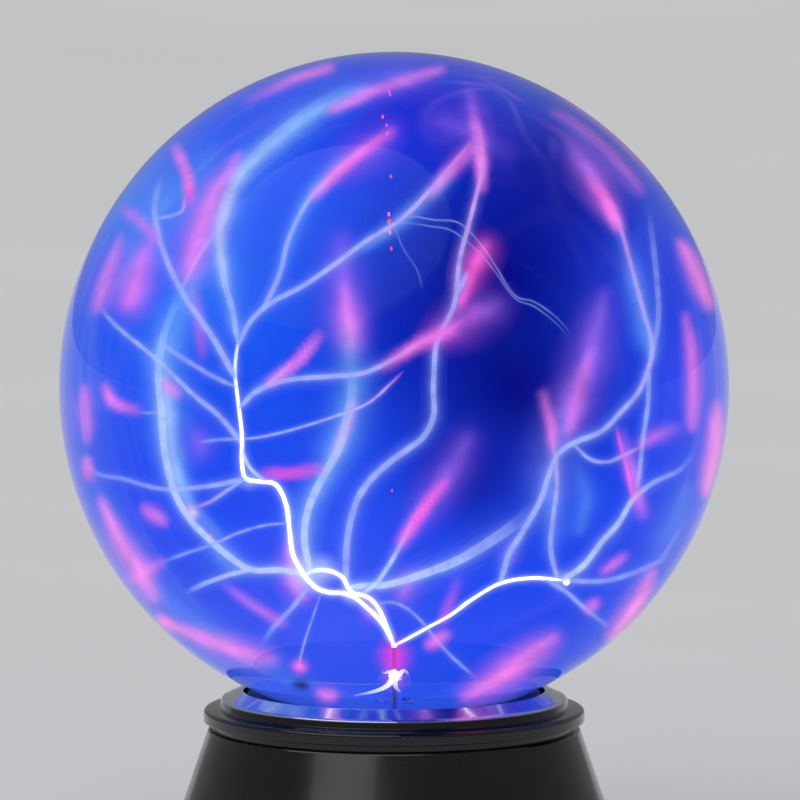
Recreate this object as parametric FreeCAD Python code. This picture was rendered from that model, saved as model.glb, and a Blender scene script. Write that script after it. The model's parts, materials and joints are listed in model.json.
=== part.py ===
"""Plasma ball: a gas-filled glass globe on a black pedestal that holds its high-voltage driver.

Frame: +Z up, origin on the globe's axis at the height of the feet's soles, front towards -Y and
controls at the back.
Lengths are in millimetres. Each function returns one sub-part, or one group of like solids.
"""

import FreeCAD
import Part
import math
import os
from FreeCAD import Rotation, Vector

# Globe, its neck and the electrode in it
GLOBE_R = 100.0
GLASS = 2.5
LIP_Z = 66.0  # height of the collar's inner edge
SEAT_DROP = 90.4  # from the globe's centre down to that edge
CENTRE_Z = LIP_Z + SEAT_DROP
NECK_R = 24.0
NECK_END_Z = 38.0
BEAD_R = 26.0
BEAD_H = 3.0
TIP_DROP = 78.0  # from the globe's centre down to the electrode's tip
TIP_Z = CENTRE_Z - TIP_DROP
PIN_R = 0.7
PINCH_TOP_Z = CENTRE_Z - 87.0
PINCH_SIZE = (10.0, 4.0, 9.0)
STEM_R = 6.0
STEM_WALL = 1.2
STEM_SHOULDER_Z = PINCH_TOP_Z - PINCH_SIZE[2]
EXHAUST_R = 1.4
EXHAUST_X = 3.2
SOCKET_Z = NECK_END_Z - 8.0
SOCKET_H = 6.0
SOCKET_R = 1.5
CRIMP_R = 1.7
LEAD_R = 1.3
LEAD_Z = SOCKET_Z + 2.0

# Collar, the stepped ring that the globe stands in
LIP_R = 45.0
COLLAR_Z = 54.0  # underside, on the shell's deck
SHELF_R = 34.0
SHELF_H = 3.0
RIM_R = 51.7  # the lip's outer wall
RIM_TOP_Z = 63.0
RIM_FOOT_Z = 60.3
FLANGE_R = 57.0
FLANGE_TOP_Z = 59.7
FLANGE_FOOT_Z = 56.0
SPIGOT_R = 54.0  # the reduced foot that meets the deck
SEAT_RING_R = (36.5, 44.0)
SEAT_RING_TOP_Z = LIP_Z - 1.5
COLLAR_SCREW_RING_R = 49.5
COLLAR_SCREWS = (30, 150, 270)

# Pedestal shell
WALL = 2.5
DECK_HOLE_R = 28.0
SHELL_TOP_R = 55.5
SHELL_FOOT_R = 69.5
PLINTH_R = 74.0
PLINTH_Z = 12.6
SHELL_END_Z = 3.0
SLOPE = math.atan2(SHELL_FOOT_R - SHELL_TOP_R, COLLAR_Z - PLINTH_Z)

# Base plate, feet and the fasteners from below
PLATE_Z = 4.0
PLATE_H = 3.0
PLATE_R = 71.3
FOOT_R = 7.0
FOOT_RING_R = 58.0
BOSS_RING_R = 62.5
BOSS_R = 3.6
BOSS_TOP_Z = 42.0
CORNERS = (45, 135, 225, 315)
VENT_HALF = (10.0, 1.1)
VENT_X = 22.0
VENT_PITCH = 8.0
VENTS = 5

# Screws: shank radius, head radius and head height
SMALL_SCREW = (1.25, 2.5, 1.8)
BASE_SCREW = (1.5, 3.0, 1.5)
PANEL_SCREW = (0.8, 1.6, 1.2)
CROSS_HALF = 0.3
CROSS_DEPTH = 0.8

# Neck clamp
CLAMP_Z = 42.5
CLAMP_H = 5.0
CLAMP_R = 30.5
CLAMP_EAR_R = 4.2
CLAMP_GAP = 0.6  # from the split to each half
SLEEVE_R = 25.7
SLEEVE_LIP_R = 27.5
POST_RING_R = 33.0
POST_R = 3.2

# Driver board
BOARD_Z = 14.0
BOARD_H = 1.6
BOARD_TOP = BOARD_Z + BOARD_H
BOARD_X = 42.0
BOARD_Y = (-30.0, 24.0)
BOARD_HOLES = ((-38, -26), (38, -26), (-38, 20), (38, 20))
STANDOFF_R = 3.2
TRANSFORMER = Vector(-27, -6, BOARD_TOP + 9.0)
CORE_HALF = (10.0, 12.5, 3.5)
YOKE = 3.4
BOBBIN_HALF_X = 6.4
CHEEK = 1.0  # thickness of the bobbin's end cheeks
SINK_X = (9.0, 35.0)
SINK_Y = (-24.0, -12.0)
SINK_PLATE = 3.0
SINK_H = 20.0
FIN = 1.4
FINS = 7
TAB_TOP = 17.5
TAB_HOLE_Z = BOARD_TOP + 14.0
CHIP_PITCH = 2.54
RESISTOR_R = 1.2
RESISTOR_PITCH = 3.6
HEADER_Y = (16.5, 23.0)
HEADER_H = 6.0
WIRE_R = 0.6

# Rear panel: its own frame has +Z out of the panel, +Y up its slope and +X towards the row's -X
PANEL_DEPTH = 7.5  # how far the flat lies inside the cone
PANEL_MID_Z = 27.0
PANEL_HALF = (30.0, 11.5)
WINDOW_HALF = (24.5, 8.5)
PLATE_HALF = (28.4, 10.5)
PLATE_T = 2.0
PANEL_BACK = -WALL - PLATE_T
PANEL_SCREW_X = 26.5
SWITCH_X = -13.3
KNOB_X = 5.2
JACK_X = 18.6

# Rocker switch, in the rear panel's frame
ROCKER_TILT = 9.0  # degrees either side of the middle
ROCKER_PIVOT_Z = -1.0
ROCKER_HALF = (7.5, 5.2)
ROCKER_END_Z = 2.6
ROCKER_VALLEY_Z = 1.2
SWITCH_OPENING = (8.8, 5.5)
SWITCH_BOX = (9.4, 6.4)
SWITCH_DEPTH = 12.0
TERMINAL_PITCH = 5.5
TERMINAL_END = -17.0
PIVOT_R = 1.15
RUNNING = 0.05  # radial clearance of a running fit

# Intensity control and supply inlet
SHAFT_R = 3.0
BUSHING_R = 3.5
BUSHING_TOP = 2.6
POT_R = 7.0
POT_H = 8.0
LUG_PITCH = 3.0
LUG_END = PANEL_BACK - POT_H - 2.0
KNOB_R = 7.0
KNOB_FOOT = 0.7
KNOB_TOP = 11.0
KNOB_SKIN = 1.8  # thickness of its crown over the shaft
FLUTES = 20
JACK_BORE_R = 3.15
JACK_BARREL_R = 4.0
JACK_BACK = -11.0
JACK_PIN_R = 1.0
JACK_PIN_TOP = 0.3
JACK_PIN_ROUND = 0.6
JACK_TAIL = (0.8, -14.0)  # radius and end
INSULATOR_TOP = -8.3

UP = Vector(0, 0, 1)
TOUCH = 1e-6


def corner_cut(before, corner, after, radius):
    """Start, middle and end of the arc of that radius that rounds a corner between two others."""
    here = Vector(corner[0], 0, corner[1])
    one = (Vector(before[0], 0, before[1]) - here).normalize()
    two = (Vector(after[0], 0, after[1]) - here).normalize()
    half = one.getAngle(two) / 2
    along = radius / math.tan(half)
    middle = (one + two).normalize() * (radius / math.sin(half) - radius)
    return here + one * along, here + middle, here + two * along


def turned(*corners):
    """A solid turned about Z from (radius, height) corners. A third number rounds that corner."""
    stretches = []
    for i, corner in enumerate(corners):
        if len(corner) == 3:
            after = corners[(i + 1) % len(corners)]
            stretches.append(corner_cut(corners[i - 1], corner, after, corner[2]))
        else:
            stretches.append((Vector(corner[0], 0, corner[1]),))
    edges = []
    for points, following in zip(stretches, stretches[1:] + stretches[:1]):
        if len(points) == 3:
            edges.append(Part.Arc(*points).toShape())
        if points[-1].distanceToPoint(following[0]) > TOUCH:
            edges.append(Part.makeLine(points[-1], following[0]))
    return Part.Face(Part.Wire(edges)).revolve(Vector(0, 0, 0), UP, 360)


def rod(radius, z0, z1, x=0.0, y=0.0):
    """An upright cylinder between two heights."""
    return Part.makeCylinder(radius, z1 - z0, Vector(x, y, z0))


def tube(outer, inner, z0, z1, x=0.0, y=0.0):
    return rod(outer, z0, z1, x, y).cut(rod(inner, z0 - 1, z1 + 1, x, y))


def block(x0, x1, y0, y1, z0, z1, rounding=0.0):
    """A box between two corners, with its upright edges rounded if asked."""
    box = Part.makeBox(x1 - x0, y1 - y0, z1 - z0, Vector(x0, y0, z0))
    if rounding:
        upright = [e for e in box.Edges if abs(e.tangentAt(e.FirstParameter).z) > 0.9]
        box = box.makeFillet(rounding, upright)
    return box


def hexagon(across_flats, z0, z1, x=0.0, y=0.0):
    radius = across_flats / math.sqrt(3)
    points = [
        Vector(x + radius * math.cos(a), y + radius * math.sin(a), z0)
        for a in (math.radians(60 * k) for k in range(7))
    ]
    return Part.Face(Part.makePolygon(points)).extrude(UP * (z1 - z0))


def on_ring(radius, degrees):
    return radius * math.cos(math.radians(degrees)), radius * math.sin(math.radians(degrees))


def screw(x, y, seat_z, length, size, upwards=True):
    """A pan-head screw with a cross recess. Its head lies under seat_z, or over it if driven downwards."""
    shank_r, head_r, head_h = size
    head = turned((0, -head_h), (head_r, -head_h, head_h * 0.6), (head_r, 0), (0, 0))
    shank = turned((0, 0), (shank_r, 0), (shank_r, length, shank_r * 0.6), (0, length))
    reach = head_r * 0.6
    cross = block(-reach, reach, -CROSS_HALF, CROSS_HALF, -head_h, CROSS_DEPTH - head_h)
    cross = cross.fuse(block(-CROSS_HALF, CROSS_HALF, -reach, reach, -head_h, CROSS_DEPTH - head_h))
    made = head.fuse(shank).cut(cross)
    if not upwards:
        made.rotate(Vector(0, 0, 0), Vector(1, 0, 0), 180)
    made.translate(Vector(x, y, seat_z))
    return made.removeSplitter()


def wire(points, radius):
    """A round lead along straight runs joined by tangent arcs, each as large as its two runs allow."""
    points = [Vector(*p) for p in points]
    edges = []
    bends = []
    here = points[0]
    for before, corner, after in zip(points, points[1:], points[2:]):
        one, two = before - corner, after - corner
        along = 0.45 * min(one.Length, two.Length)
        one.normalize()
        two.normalize()
        half = one.getAngle(two) / 2
        bends.append(round(along * math.tan(half), 1))
        bulge = (one + two).normalize() * (along / math.cos(half) - along * math.tan(half))
        start, end = corner + one * along, corner + two * along
        edges.append(Part.makeLine(here, start))
        edges.append(Part.Arc(start, corner + bulge, end).toShape())
        here = end
    edges.append(Part.makeLine(here, points[-1]))
    path = Part.Wire(edges)
    section = Part.Wire(Part.makeCircle(radius, points[0], points[1] - points[0]))
    made = path.makePipeShell([section], True, False)
    expected = math.pi * radius**2 * path.Length
    print(f"  lead: bend radii {bends}, volume {made.Volume:.2f}, section times length {expected:.2f}")
    return made


def panel_frame():
    """The placement that carries a shape from the rear panel's frame to the row frame."""
    normal = Vector(0, math.cos(SLOPE), math.sin(SLOPE))
    surface_y = SHELL_FOOT_R - (PANEL_MID_Z - PLINTH_Z) * math.tan(SLOPE)
    origin = Vector(0, surface_y, PANEL_MID_Z) - normal * PANEL_DEPTH
    up_slope = Vector(0, -math.sin(SLOPE), math.cos(SLOPE))
    return FreeCAD.Placement(origin, Rotation(Vector(-1, 0, 0), up_slope, normal, "ZXY"))


def on_panel(shape):
    return shape.transformed(panel_frame().toMatrix(), copy=True)


def panel_point(x, y, z):
    return panel_frame().multVec(Vector(x, y, z))


# Globe and electrode


def globe_glass():
    """The blown globe: a hollow sphere with an open neck that ends in a rolled bead."""

    def blown(radius, neck):
        meets = CENTRE_Z - math.sqrt(radius**2 - neck**2)
        top = Vector(0, 0, CENTRE_Z + radius)
        side = Vector(radius, 0, CENTRE_Z)
        edges = [
            Part.Arc(top, side, Vector(neck, 0, meets)).toShape(),
            Part.makeLine(Vector(neck, 0, meets), Vector(neck, 0, NECK_END_Z)),
            Part.makeLine(Vector(neck, 0, NECK_END_Z), Vector(0, 0, NECK_END_Z)),
            Part.makeLine(Vector(0, 0, NECK_END_Z), top),
        ]
        solid = Part.Face(Part.Wire(edges)).revolve(Vector(0, 0, 0), UP, 360)
        joint = [e for e in solid.Edges if abs(e.BoundBox.ZMin - meets) < 0.01 and e.BoundBox.ZLength < 0.01]
        return solid.makeFillet(4.0, joint)

    bead = turned(
        (NECK_R - 1, NECK_END_Z),
        (BEAD_R, NECK_END_Z, 1.2),
        (BEAD_R, NECK_END_Z + BEAD_H, 1.2),
        (NECK_R - 1, NECK_END_Z + BEAD_H),
    )
    return blown(GLOBE_R, NECK_R).fuse(bead).cut(blown(GLOBE_R - GLASS, NECK_R - GLASS))


def stem_glass():
    """The flared stem that shuts the neck, with the pinch that grips the electrode pin."""
    bore = STEM_R - STEM_WALL
    neck_inside = NECK_R - GLASS
    flare = turned(
        (neck_inside, NECK_END_Z),
        (neck_inside, NECK_END_Z + 3.0, 0.8),
        (STEM_R, NECK_END_Z + 9.0, 5.0),
        (STEM_R, STEM_SHOULDER_Z + 1.0),
        (bore, STEM_SHOULDER_Z + 1.0),
        (bore, NECK_END_Z + 7.6, 5.0),
        (neck_inside - 1.6, NECK_END_Z, 0.4),
    )
    x, y, _ = PINCH_SIZE
    pinch = block(-x / 2, x / 2, -y / 2, y / 2, STEM_SHOULDER_Z, PINCH_TOP_Z, 1.6)
    pinch = pinch.makeFillet(1.2, [e for e in pinch.Edges if e.BoundBox.ZMin > PINCH_TOP_Z - 0.01])
    shoulder = turned(
        (0, STEM_SHOULDER_Z),
        (STEM_R, STEM_SHOULDER_Z),
        (STEM_R, STEM_SHOULDER_Z + 1.0),
        (2.0, STEM_SHOULDER_Z + 4.0),
        (0, STEM_SHOULDER_Z + 4.0),
    )
    return flare.fuse([pinch, shoulder]).cut(rod(PIN_R, NECK_END_Z, TIP_Z)).removeSplitter()


def exhaust_tube():
    """The thin tube that the globe was pumped and filled through, sealed off to a tip at its lower end."""
    bore = EXHAUST_R - 0.6
    made = turned(
        (0, NECK_END_Z - 6.0),
        (EXHAUST_R * 0.6, NECK_END_Z - 5.4, 0.4),
        (EXHAUST_R, NECK_END_Z - 2.0, 1.0),
        (EXHAUST_R, STEM_SHOULDER_Z),
        (bore, STEM_SHOULDER_Z),
        (bore, NECK_END_Z),
        (0, NECK_END_Z - 2.0),
    )
    made.translate(Vector(EXHAUST_X, 0, 0))
    return made


def electrode_pin():
    """The wire through the pinch, with a rounded tip inside the globe."""
    foot = NECK_END_Z - 5.0
    return turned((0, foot), (PIN_R, foot), (PIN_R, TIP_Z, PIN_R * 0.95), (0, TIP_Z))


def electrode_socket():
    """The push-on contact on the pin's lower end, with a crimped barrel that points to the front."""
    top = SOCKET_Z + SOCKET_H
    contact = turned((0, SOCKET_Z), (SOCKET_R, SOCKET_Z, 0.5), (SOCKET_R, top, 0.4), (0, top))
    barrel = Part.makeCylinder(CRIMP_R, 5.0, Vector(0, -1.0, LEAD_Z), Vector(0, -1, 0))
    return contact.fuse(barrel).cut(rod(PIN_R, NECK_END_Z - 5.0, NECK_END_Z)).removeSplitter()


def hv_lead():
    """The high-voltage lead, from the electrode's socket round to the cheek of the transformer's bobbin."""
    cheek_x = TRANSFORMER.x + BOBBIN_HALF_X
    exit_z = TRANSFORMER.z + 5.8
    route = [
        (0, -6.0, LEAD_Z),
        (0, -11.0, LEAD_Z),
        (-5.0, -16.0, LEAD_Z - 0.8),
        (-14.0, -12.5, exit_z),
        (cheek_x, -12.5, exit_z),
    ]
    return wire(route, LEAD_R)


# Collar and neck clamp


def collar_ring():
    """The glossy stepped ring round the globe's foot, with the shelf that carries the seat ring."""
    shelf_z = COLLAR_Z + SHELF_H
    made = turned(
        (SHELF_R, COLLAR_Z),
        (SPIGOT_R, COLLAR_Z),
        (SPIGOT_R, FLANGE_FOOT_Z),
        (FLANGE_R, FLANGE_FOOT_Z, 0.6),
        (FLANGE_R, FLANGE_TOP_Z, 1.2),
        (RIM_R + 0.5, RIM_FOOT_Z, 0.5),
        (RIM_R, RIM_TOP_Z, 1.4),
        (LIP_R, LIP_Z, 0.8),
        (LIP_R, shelf_z),
        (SHELF_R, shelf_z, 0.6),
    )
    for angle in COLLAR_SCREWS:
        x, y = on_ring(COLLAR_SCREW_RING_R, angle)
        made = made.cut(rod(SMALL_SCREW[0], COLLAR_Z - 1, COLLAR_Z + 5.5, x, y))
    return made


def collar_screws():
    seat = COLLAR_Z - WALL
    return [screw(*on_ring(COLLAR_SCREW_RING_R, angle), seat, 7.5, SMALL_SCREW) for angle in COLLAR_SCREWS]


def globe_seat_ring():
    """The soft ring between the globe and the collar's shelf."""
    inner, outer = SEAT_RING_R
    base = COLLAR_Z + SHELF_H
    ring = turned((inner, base), (outer, base), (outer, SEAT_RING_TOP_Z, 0.8), (inner, SEAT_RING_TOP_Z))
    return ring.cut(Part.makeSphere(GLOBE_R, Vector(0, 0, CENTRE_Z)))


def neck_sleeve():
    """The silicone sleeve between the neck and its clamp, with a lip over the bead."""
    lip = NECK_END_Z + BEAD_H
    top = CLAMP_Z + CLAMP_H + 2.0
    return turned(
        (NECK_R, lip),
        (SLEEVE_LIP_R, lip, 0.4),
        (SLEEVE_LIP_R, CLAMP_Z, 0.4),
        (SLEEVE_R, CLAMP_Z),
        (SLEEVE_R, top, 0.4),
        (NECK_R, top),
    )


def neck_clamp(side):
    """One half of the ring over the neck's bead that keeps the globe down; side is -1 or 1 along X."""
    top = CLAMP_Z + CLAMP_H
    ring = rod(CLAMP_R, CLAMP_Z, top)
    for angle in CORNERS:
        ring = ring.fuse(rod(CLAMP_EAR_R, CLAMP_Z, top, *on_ring(POST_RING_R, angle)))
    ring = ring.cut(rod(SLEEVE_R, CLAMP_Z - 1, top + 1))
    for angle in CORNERS:
        ring = ring.cut(rod(1.5, CLAMP_Z - 1, top + 1, *on_ring(POST_RING_R, angle)))
    far = POST_RING_R + CLAMP_EAR_R
    left, right = (CLAMP_GAP, far) if side > 0 else (-far, -CLAMP_GAP)
    return ring.common(block(left, right, -far, far, CLAMP_Z, top)).removeSplitter()


def neck_clamp_screws():
    return [screw(*on_ring(POST_RING_R, angle), CLAMP_Z, 7.6, SMALL_SCREW) for angle in CORNERS]


# Pedestal


def cone_radius(z):
    return SHELL_FOOT_R - (z - PLINTH_Z) * math.tan(SLOPE)


def window_plug(clearance, z0, z1):
    """A block that fills the rear window but for a clearance all round, in the panel's frame."""
    x, y = (half - clearance for half in WINDOW_HALF)
    return block(-x, x, -y, y, z0, z1, 1.0)


def shell_outside():
    """The housing as a solid, with the flat for the controls cut into its back."""
    body = turned(
        (0, SHELL_END_Z),
        (PLINTH_R, SHELL_END_Z, 0.8),
        (PLINTH_R - 0.6, PLINTH_Z - 0.4, 2.0),
        (SHELL_FOOT_R, PLINTH_Z, 1.0),
        (SHELL_TOP_R, COLLAR_Z, 1.2),
        (0, COLLAR_Z),
    )
    x, y = PANEL_HALF
    return body.cut(on_panel(block(-x, x, -y, y, 0, 30, 1.5)))


def shell_inside():
    """The space inside the housing, which keeps a wall behind the flat for the controls."""
    inward = WALL / math.cos(SLOPE)
    plinth_top = PLINTH_Z - 2.8
    deck = COLLAR_Z - WALL
    space = turned(
        (0, SHELL_END_Z - 1),
        (PLINTH_R - WALL + 0.1, SHELL_END_Z - 1),
        (PLINTH_R - WALL - 0.3, plinth_top),
        (cone_radius(plinth_top) - inward, plinth_top),
        (cone_radius(deck) - inward, deck, 1.0),
        (0, deck),
    )
    x, y = (half + WALL for half in PANEL_HALF)
    return space.cut(on_panel(block(-x, x, -y, y, -WALL, 30, 1.5)))


def base_shell():
    """The pedestal's housing: deck, tapered wall, plinth, rear flat, and bosses and posts for the screws."""
    outside = shell_outside()
    deck = COLLAR_Z - WALL
    clamp_top = CLAMP_Z + CLAMP_H
    boss_foot = PLATE_Z + PLATE_H
    bosses = [rod(BOSS_R, boss_foot, BOSS_TOP_Z, *on_ring(BOSS_RING_R, a)).common(outside) for a in CORNERS]
    posts = [rod(POST_R, clamp_top, deck + 1, *on_ring(POST_RING_R, a)) for a in CORNERS]
    shell = outside.cut(shell_inside()).fuse(bosses + posts)
    shell = shell.cut(rod(DECK_HOLE_R, deck - 1, COLLAR_Z + 1))
    shell = shell.cut(on_panel(window_plug(0, -WALL - 1, 1)))
    for angle in CORNERS:
        shell = shell.cut(rod(SMALL_SCREW[0], clamp_top - 1, clamp_top + 2.8, *on_ring(POST_RING_R, angle)))
        shell = shell.cut(rod(BASE_SCREW[0], PLATE_Z, PLATE_Z + 14.5, *on_ring(BOSS_RING_R, angle)))
    for angle in COLLAR_SCREWS:
        shell = shell.cut(rod(1.3, deck - 1, COLLAR_Z + 1, *on_ring(COLLAR_SCREW_RING_R, angle)))
    for side in (-1, 1):
        shell = shell.cut(on_panel(rod(PANEL_SCREW[0], -WALL - 1, -0.6, side * PANEL_SCREW_X)))
    return shell.removeSplitter()


def rear_panel():
    """The control plate: it lies against the shell from inside and fills the window flush."""
    x, y = PLATE_HALF
    plate = block(-x, x, -y, y, PANEL_BACK, -WALL, 1.5).fuse(window_plug(0.15, -WALL - 0.5, 0))
    x, y = (half + 0.1 for half in SWITCH_BOX)
    plate = plate.cut(block(SWITCH_X - x, SWITCH_X + x, -y, y, -10, 10))
    plate = plate.cut(rod(BUSHING_R + 0.1, -10, 10, KNOB_X))
    plate = plate.cut(rod(JACK_BARREL_R + 0.1, -10, 10, JACK_X))
    for side in (-1, 1):
        plate = plate.cut(rod(PANEL_SCREW[0] + 0.05, -10, 10, side * PANEL_SCREW_X))
    return on_panel(plate.removeSplitter())


def rear_panel_screws():
    return [on_panel(screw(side * PANEL_SCREW_X, 0, PANEL_BACK, 3.8, PANEL_SCREW)) for side in (-1, 1)]


def base_plate():
    """The bottom cover, with vent slots, countersunk screw holes and standoffs for the board."""
    top = PLATE_Z + PLATE_H
    plate = turned((0, PLATE_Z), (PLATE_R, PLATE_Z, 0.6), (PLATE_R, top, 0.6), (0, top))
    for x, y in BOARD_HOLES:
        plate = plate.fuse(rod(STANDOFF_R, top - 0.5, BOARD_Z, x, y))
    for x, y in BOARD_HOLES:
        plate = plate.cut(rod(SMALL_SCREW[0], BOARD_Z - 6.5, BOARD_Z + 1, x, y))
    for angle in CORNERS:
        x, y = on_ring(BOSS_RING_R, angle)
        plate = plate.cut(rod(BASE_SCREW[0] + 0.1, PLATE_Z - 1, top + 1, x, y))
        plate = plate.cut(rod(BASE_SCREW[1] + 0.3, PLATE_Z - 1, PLATE_Z + 1.6, x, y))
    half_x, half_y = VENT_HALF
    for x in (-VENT_X, VENT_X):
        for k in range(VENTS):
            y = VENT_PITCH * (k - (VENTS - 1) / 2)
            slot = block(x - half_x, x + half_x, y - half_y, y + half_y, PLATE_Z - 1, top + 1, 1.0)
            plate = plate.cut(slot)
    return plate.removeSplitter()


def base_screws():
    return [screw(*on_ring(BOSS_RING_R, angle), PLATE_Z + 1.6, 12.0, BASE_SCREW) for angle in CORNERS]


def rubber_feet():
    feet = []
    for angle in (0, 90, 180, 270):
        foot = turned((0, 0), (FOOT_R - 0.8, 0, 0.5), (FOOT_R, 2.4, 0.8), (FOOT_R, PLATE_Z), (0, PLATE_Z))
        foot.translate(Vector(*on_ring(FOOT_RING_R, angle), 0))
        feet.append(foot)
    return feet


# Driver board and what stands on it


def driver_board():
    board = block(-BOARD_X, BOARD_X, *BOARD_Y, BOARD_Z, BOARD_TOP, 3.0)
    for x, y in BOARD_HOLES:
        board = board.cut(rod(1.6, BOARD_Z - 1, BOARD_TOP + 1, x, y))
    return board


def board_screws():
    return [screw(x, y, BOARD_TOP, 7.0, SMALL_SCREW, False) for x, y in BOARD_HOLES]


def transformer_core():
    """Two ferrite E halves that meet in the middle, with the legs along X."""
    x, y, z = CORE_HALF
    side_leg = 3.2
    middle_leg = 7.5
    halves = []
    for side in (-1, 1):
        half = block(x - YOKE, x, -y, y, -z, z)
        for leg_y, width in ((side_leg / 2 - y, side_leg), (0, middle_leg), (y - side_leg / 2, side_leg)):
            half = half.fuse(block(0, x - YOKE + 0.4, leg_y - width / 2, leg_y + width / 2, -z, z))
        half = half.removeSplitter()
        if side < 0:
            half.rotate(Vector(0, 0, 0), UP, 180)
        half.translate(TRANSFORMER)
        halves.append(half)
    return halves


def transformer_bobbin():
    """The former between the ferrite halves: a square tube with a cheek at each end, standing on the board."""
    former = block(-BOBBIN_HALF_X, BOBBIN_HALF_X, -4.7, 4.7, -4.4, 4.4)
    for x in (-BOBBIN_HALF_X, BOBBIN_HALF_X - CHEEK):
        former = former.fuse(block(x, x + CHEEK, -8.8, 8.8, BOARD_TOP - TRANSFORMER.z, 8.2))
    former = former.cut(block(-7, 7, -3.9, 3.9, -3.6, 3.6))
    former.translate(TRANSFORMER)
    return former.removeSplitter()


def transformer_winding():
    half_x = BOBBIN_HALF_X - CHEEK
    coil = block(-half_x, half_x, -8.0, 8.0, -7.6, 7.6)
    along_x = [e for e in coil.Edges if abs(e.tangentAt(e.FirstParameter).x) > 0.9]
    coil = coil.makeFillet(3.0, along_x).cut(block(-6, 6, -4.7, 4.7, -4.4, 4.4))
    coil.translate(TRANSFORMER)
    return coil


def sink_middle():
    return sum(SINK_X) / 2


def heat_sink():
    """An extruded comb of fins standing on the board."""
    left, right = SINK_X
    front, back = SINK_Y
    top = BOARD_TOP + SINK_H
    sink = block(left, right, front, front + SINK_PLATE, BOARD_TOP, top)
    for k in range(FINS):
        x = left + (right - left - FIN) * k / (FINS - 1)
        sink = sink.fuse(block(x, x + FIN, front + SINK_PLATE, back, BOARD_TOP, top))
    hole_start = Vector(sink_middle(), front - 1, TAB_HOLE_Z)
    hole = Part.makeCylinder(SMALL_SCREW[0], SINK_PLATE + 2, hole_start, Vector(0, 1, 0))
    return sink.cut(hole).removeSplitter()


def power_transistor():
    """A flat power package bolted to the heat sink, on three legs."""
    x = sink_middle()
    tab_front = SINK_Y[0] - 1.3
    tab = block(x - 5, x + 5, tab_front, SINK_Y[0], BOARD_TOP + 3, BOARD_TOP + TAB_TOP)
    tab = tab.cut(Part.makeCylinder(1.5, 3, Vector(x, tab_front - 1, TAB_HOLE_Z), Vector(0, 1, 0)))
    body = block(x - 5, x + 5, tab_front - 2.7, tab_front, BOARD_TOP + 3, BOARD_TOP + 11)
    legs = []
    for k in (-1, 0, 1):
        leg_x = x + CHIP_PITCH * k
        leg_y = tab_front - 1.0
        legs.append(block(leg_x - 0.4, leg_x + 0.4, leg_y - 0.3, leg_y + 0.3, BOARD_TOP, BOARD_TOP + 3))
    return tab.fuse([body] + legs).removeSplitter()


def transistor_screw():
    made = screw(0, 0, 0, 4.0, SMALL_SCREW)
    made.rotate(Vector(0, 0, 0), Vector(1, 0, 0), -90)
    made.translate(Vector(sink_middle(), SINK_Y[0] - 1.3, TAB_HOLE_Z))
    return made


def filter_capacitors():
    """Three electrolytic cans, each with the crimped groove near its foot."""
    cans = []
    for x, y, radius, height in ((-8, -22, 5.0, 16.0), (3, -22, 4.0, 12.0), (-20, -25, 3.15, 11.0)):
        can = turned((0, 0), (radius, 0, 0.5), (radius, height, 0.5), (0, height))
        can = can.cut(tube(radius + 1, radius - 0.35, 1.4, 2.0))
        can.translate(Vector(x, y, BOARD_TOP))
        cans.append(can)
    return cans


def film_capacitor():
    return block(12, 24, 2, 8, BOARD_TOP, BOARD_TOP + 10, 1.0)


def timer_chip():
    """The oscillator in an eight-pin package."""
    left, right, front, back = 28.0, 34.4, 4.0, 14.0
    chip = block(left, right, front, back, BOARD_TOP + 0.8, BOARD_TOP + 4.2)
    notch = rod(0.9, BOARD_TOP + 3.4, BOARD_TOP + 5, (left + right) / 2, front)
    legs = []
    for k in range(4):
        y = (front + back) / 2 + CHIP_PITCH * (k - 1.5)
        for x in (left - 0.6, right):
            legs.append(block(x, x + 0.6, y - 0.3, y + 0.3, BOARD_TOP, BOARD_TOP + 2.6))
    return chip.cut(notch).fuse(legs).removeSplitter()


def resistors():
    made = []
    for k in range(5):
        x = RESISTOR_PITCH * k - 4.0
        body = Part.makeCylinder(RESISTOR_R, 6.5, Vector(x, -9, BOARD_TOP + 1.4), Vector(0, 1, 0))
        leads = [block(x - 0.3, x + 0.3, y, y + 0.6, BOARD_TOP, BOARD_TOP + 1.6) for y in (-9.6, -2.5)]
        made.append(body.fuse(leads).removeSplitter())
    return made


def microphone():
    """The capsule that the sound-driven setting listens with."""
    capsule = turned((0, 0), (4.85, 0), (4.85, 6.0, 0.4), (0, 6.0)).cut(rod(3.2, 5.6, 7))
    capsule.translate(Vector(-29, 13, BOARD_TOP))
    return capsule


def connector_x():
    """Where the three lead headers stand on the board, from the inlet's to the switch's."""
    return -JACK_X, -KNOB_X, -SWITCH_X


def board_connectors():
    front, back = HEADER_Y
    made = []
    for x, half in zip(connector_x(), (3.2, 4.4, 4.4)):
        header = block(x - half, x + half, front, back, BOARD_TOP, BOARD_TOP + HEADER_H)
        half -= 0.8
        mouth = block(x - half, x + half, front + 1.5, back + 1, BOARD_TOP + 1.2, BOARD_TOP + HEADER_H + 1)
        made.append(header.cut(mouth))
    return made


def lead_to_board(x, y, back, header_x):
    """A thin lead from a terminal's end behind the panel to its header on the board."""
    start = panel_point(x, y, back)
    leave = panel_point(x, y, back - 4.0)
    inside = Vector(header_x, HEADER_Y[0] + 2.1, BOARD_TOP + 2.6)
    mouth = Vector(header_x, HEADER_Y[1] + 0.5, inside.z)
    middle = (leave + inside) / 2 - UP * 0.8
    return wire([start, leave, middle, mouth, inside], WIRE_R)


def power_wires():
    x = connector_x()[0]
    barrel_wall = (JACK_BORE_R + JACK_BARREL_R) / 2
    tail = lead_to_board(JACK_X, 0, JACK_TAIL[1], x - 1.3)
    return [tail, lead_to_board(JACK_X - barrel_wall, 0, JACK_BACK, x + 1.3)]


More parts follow.
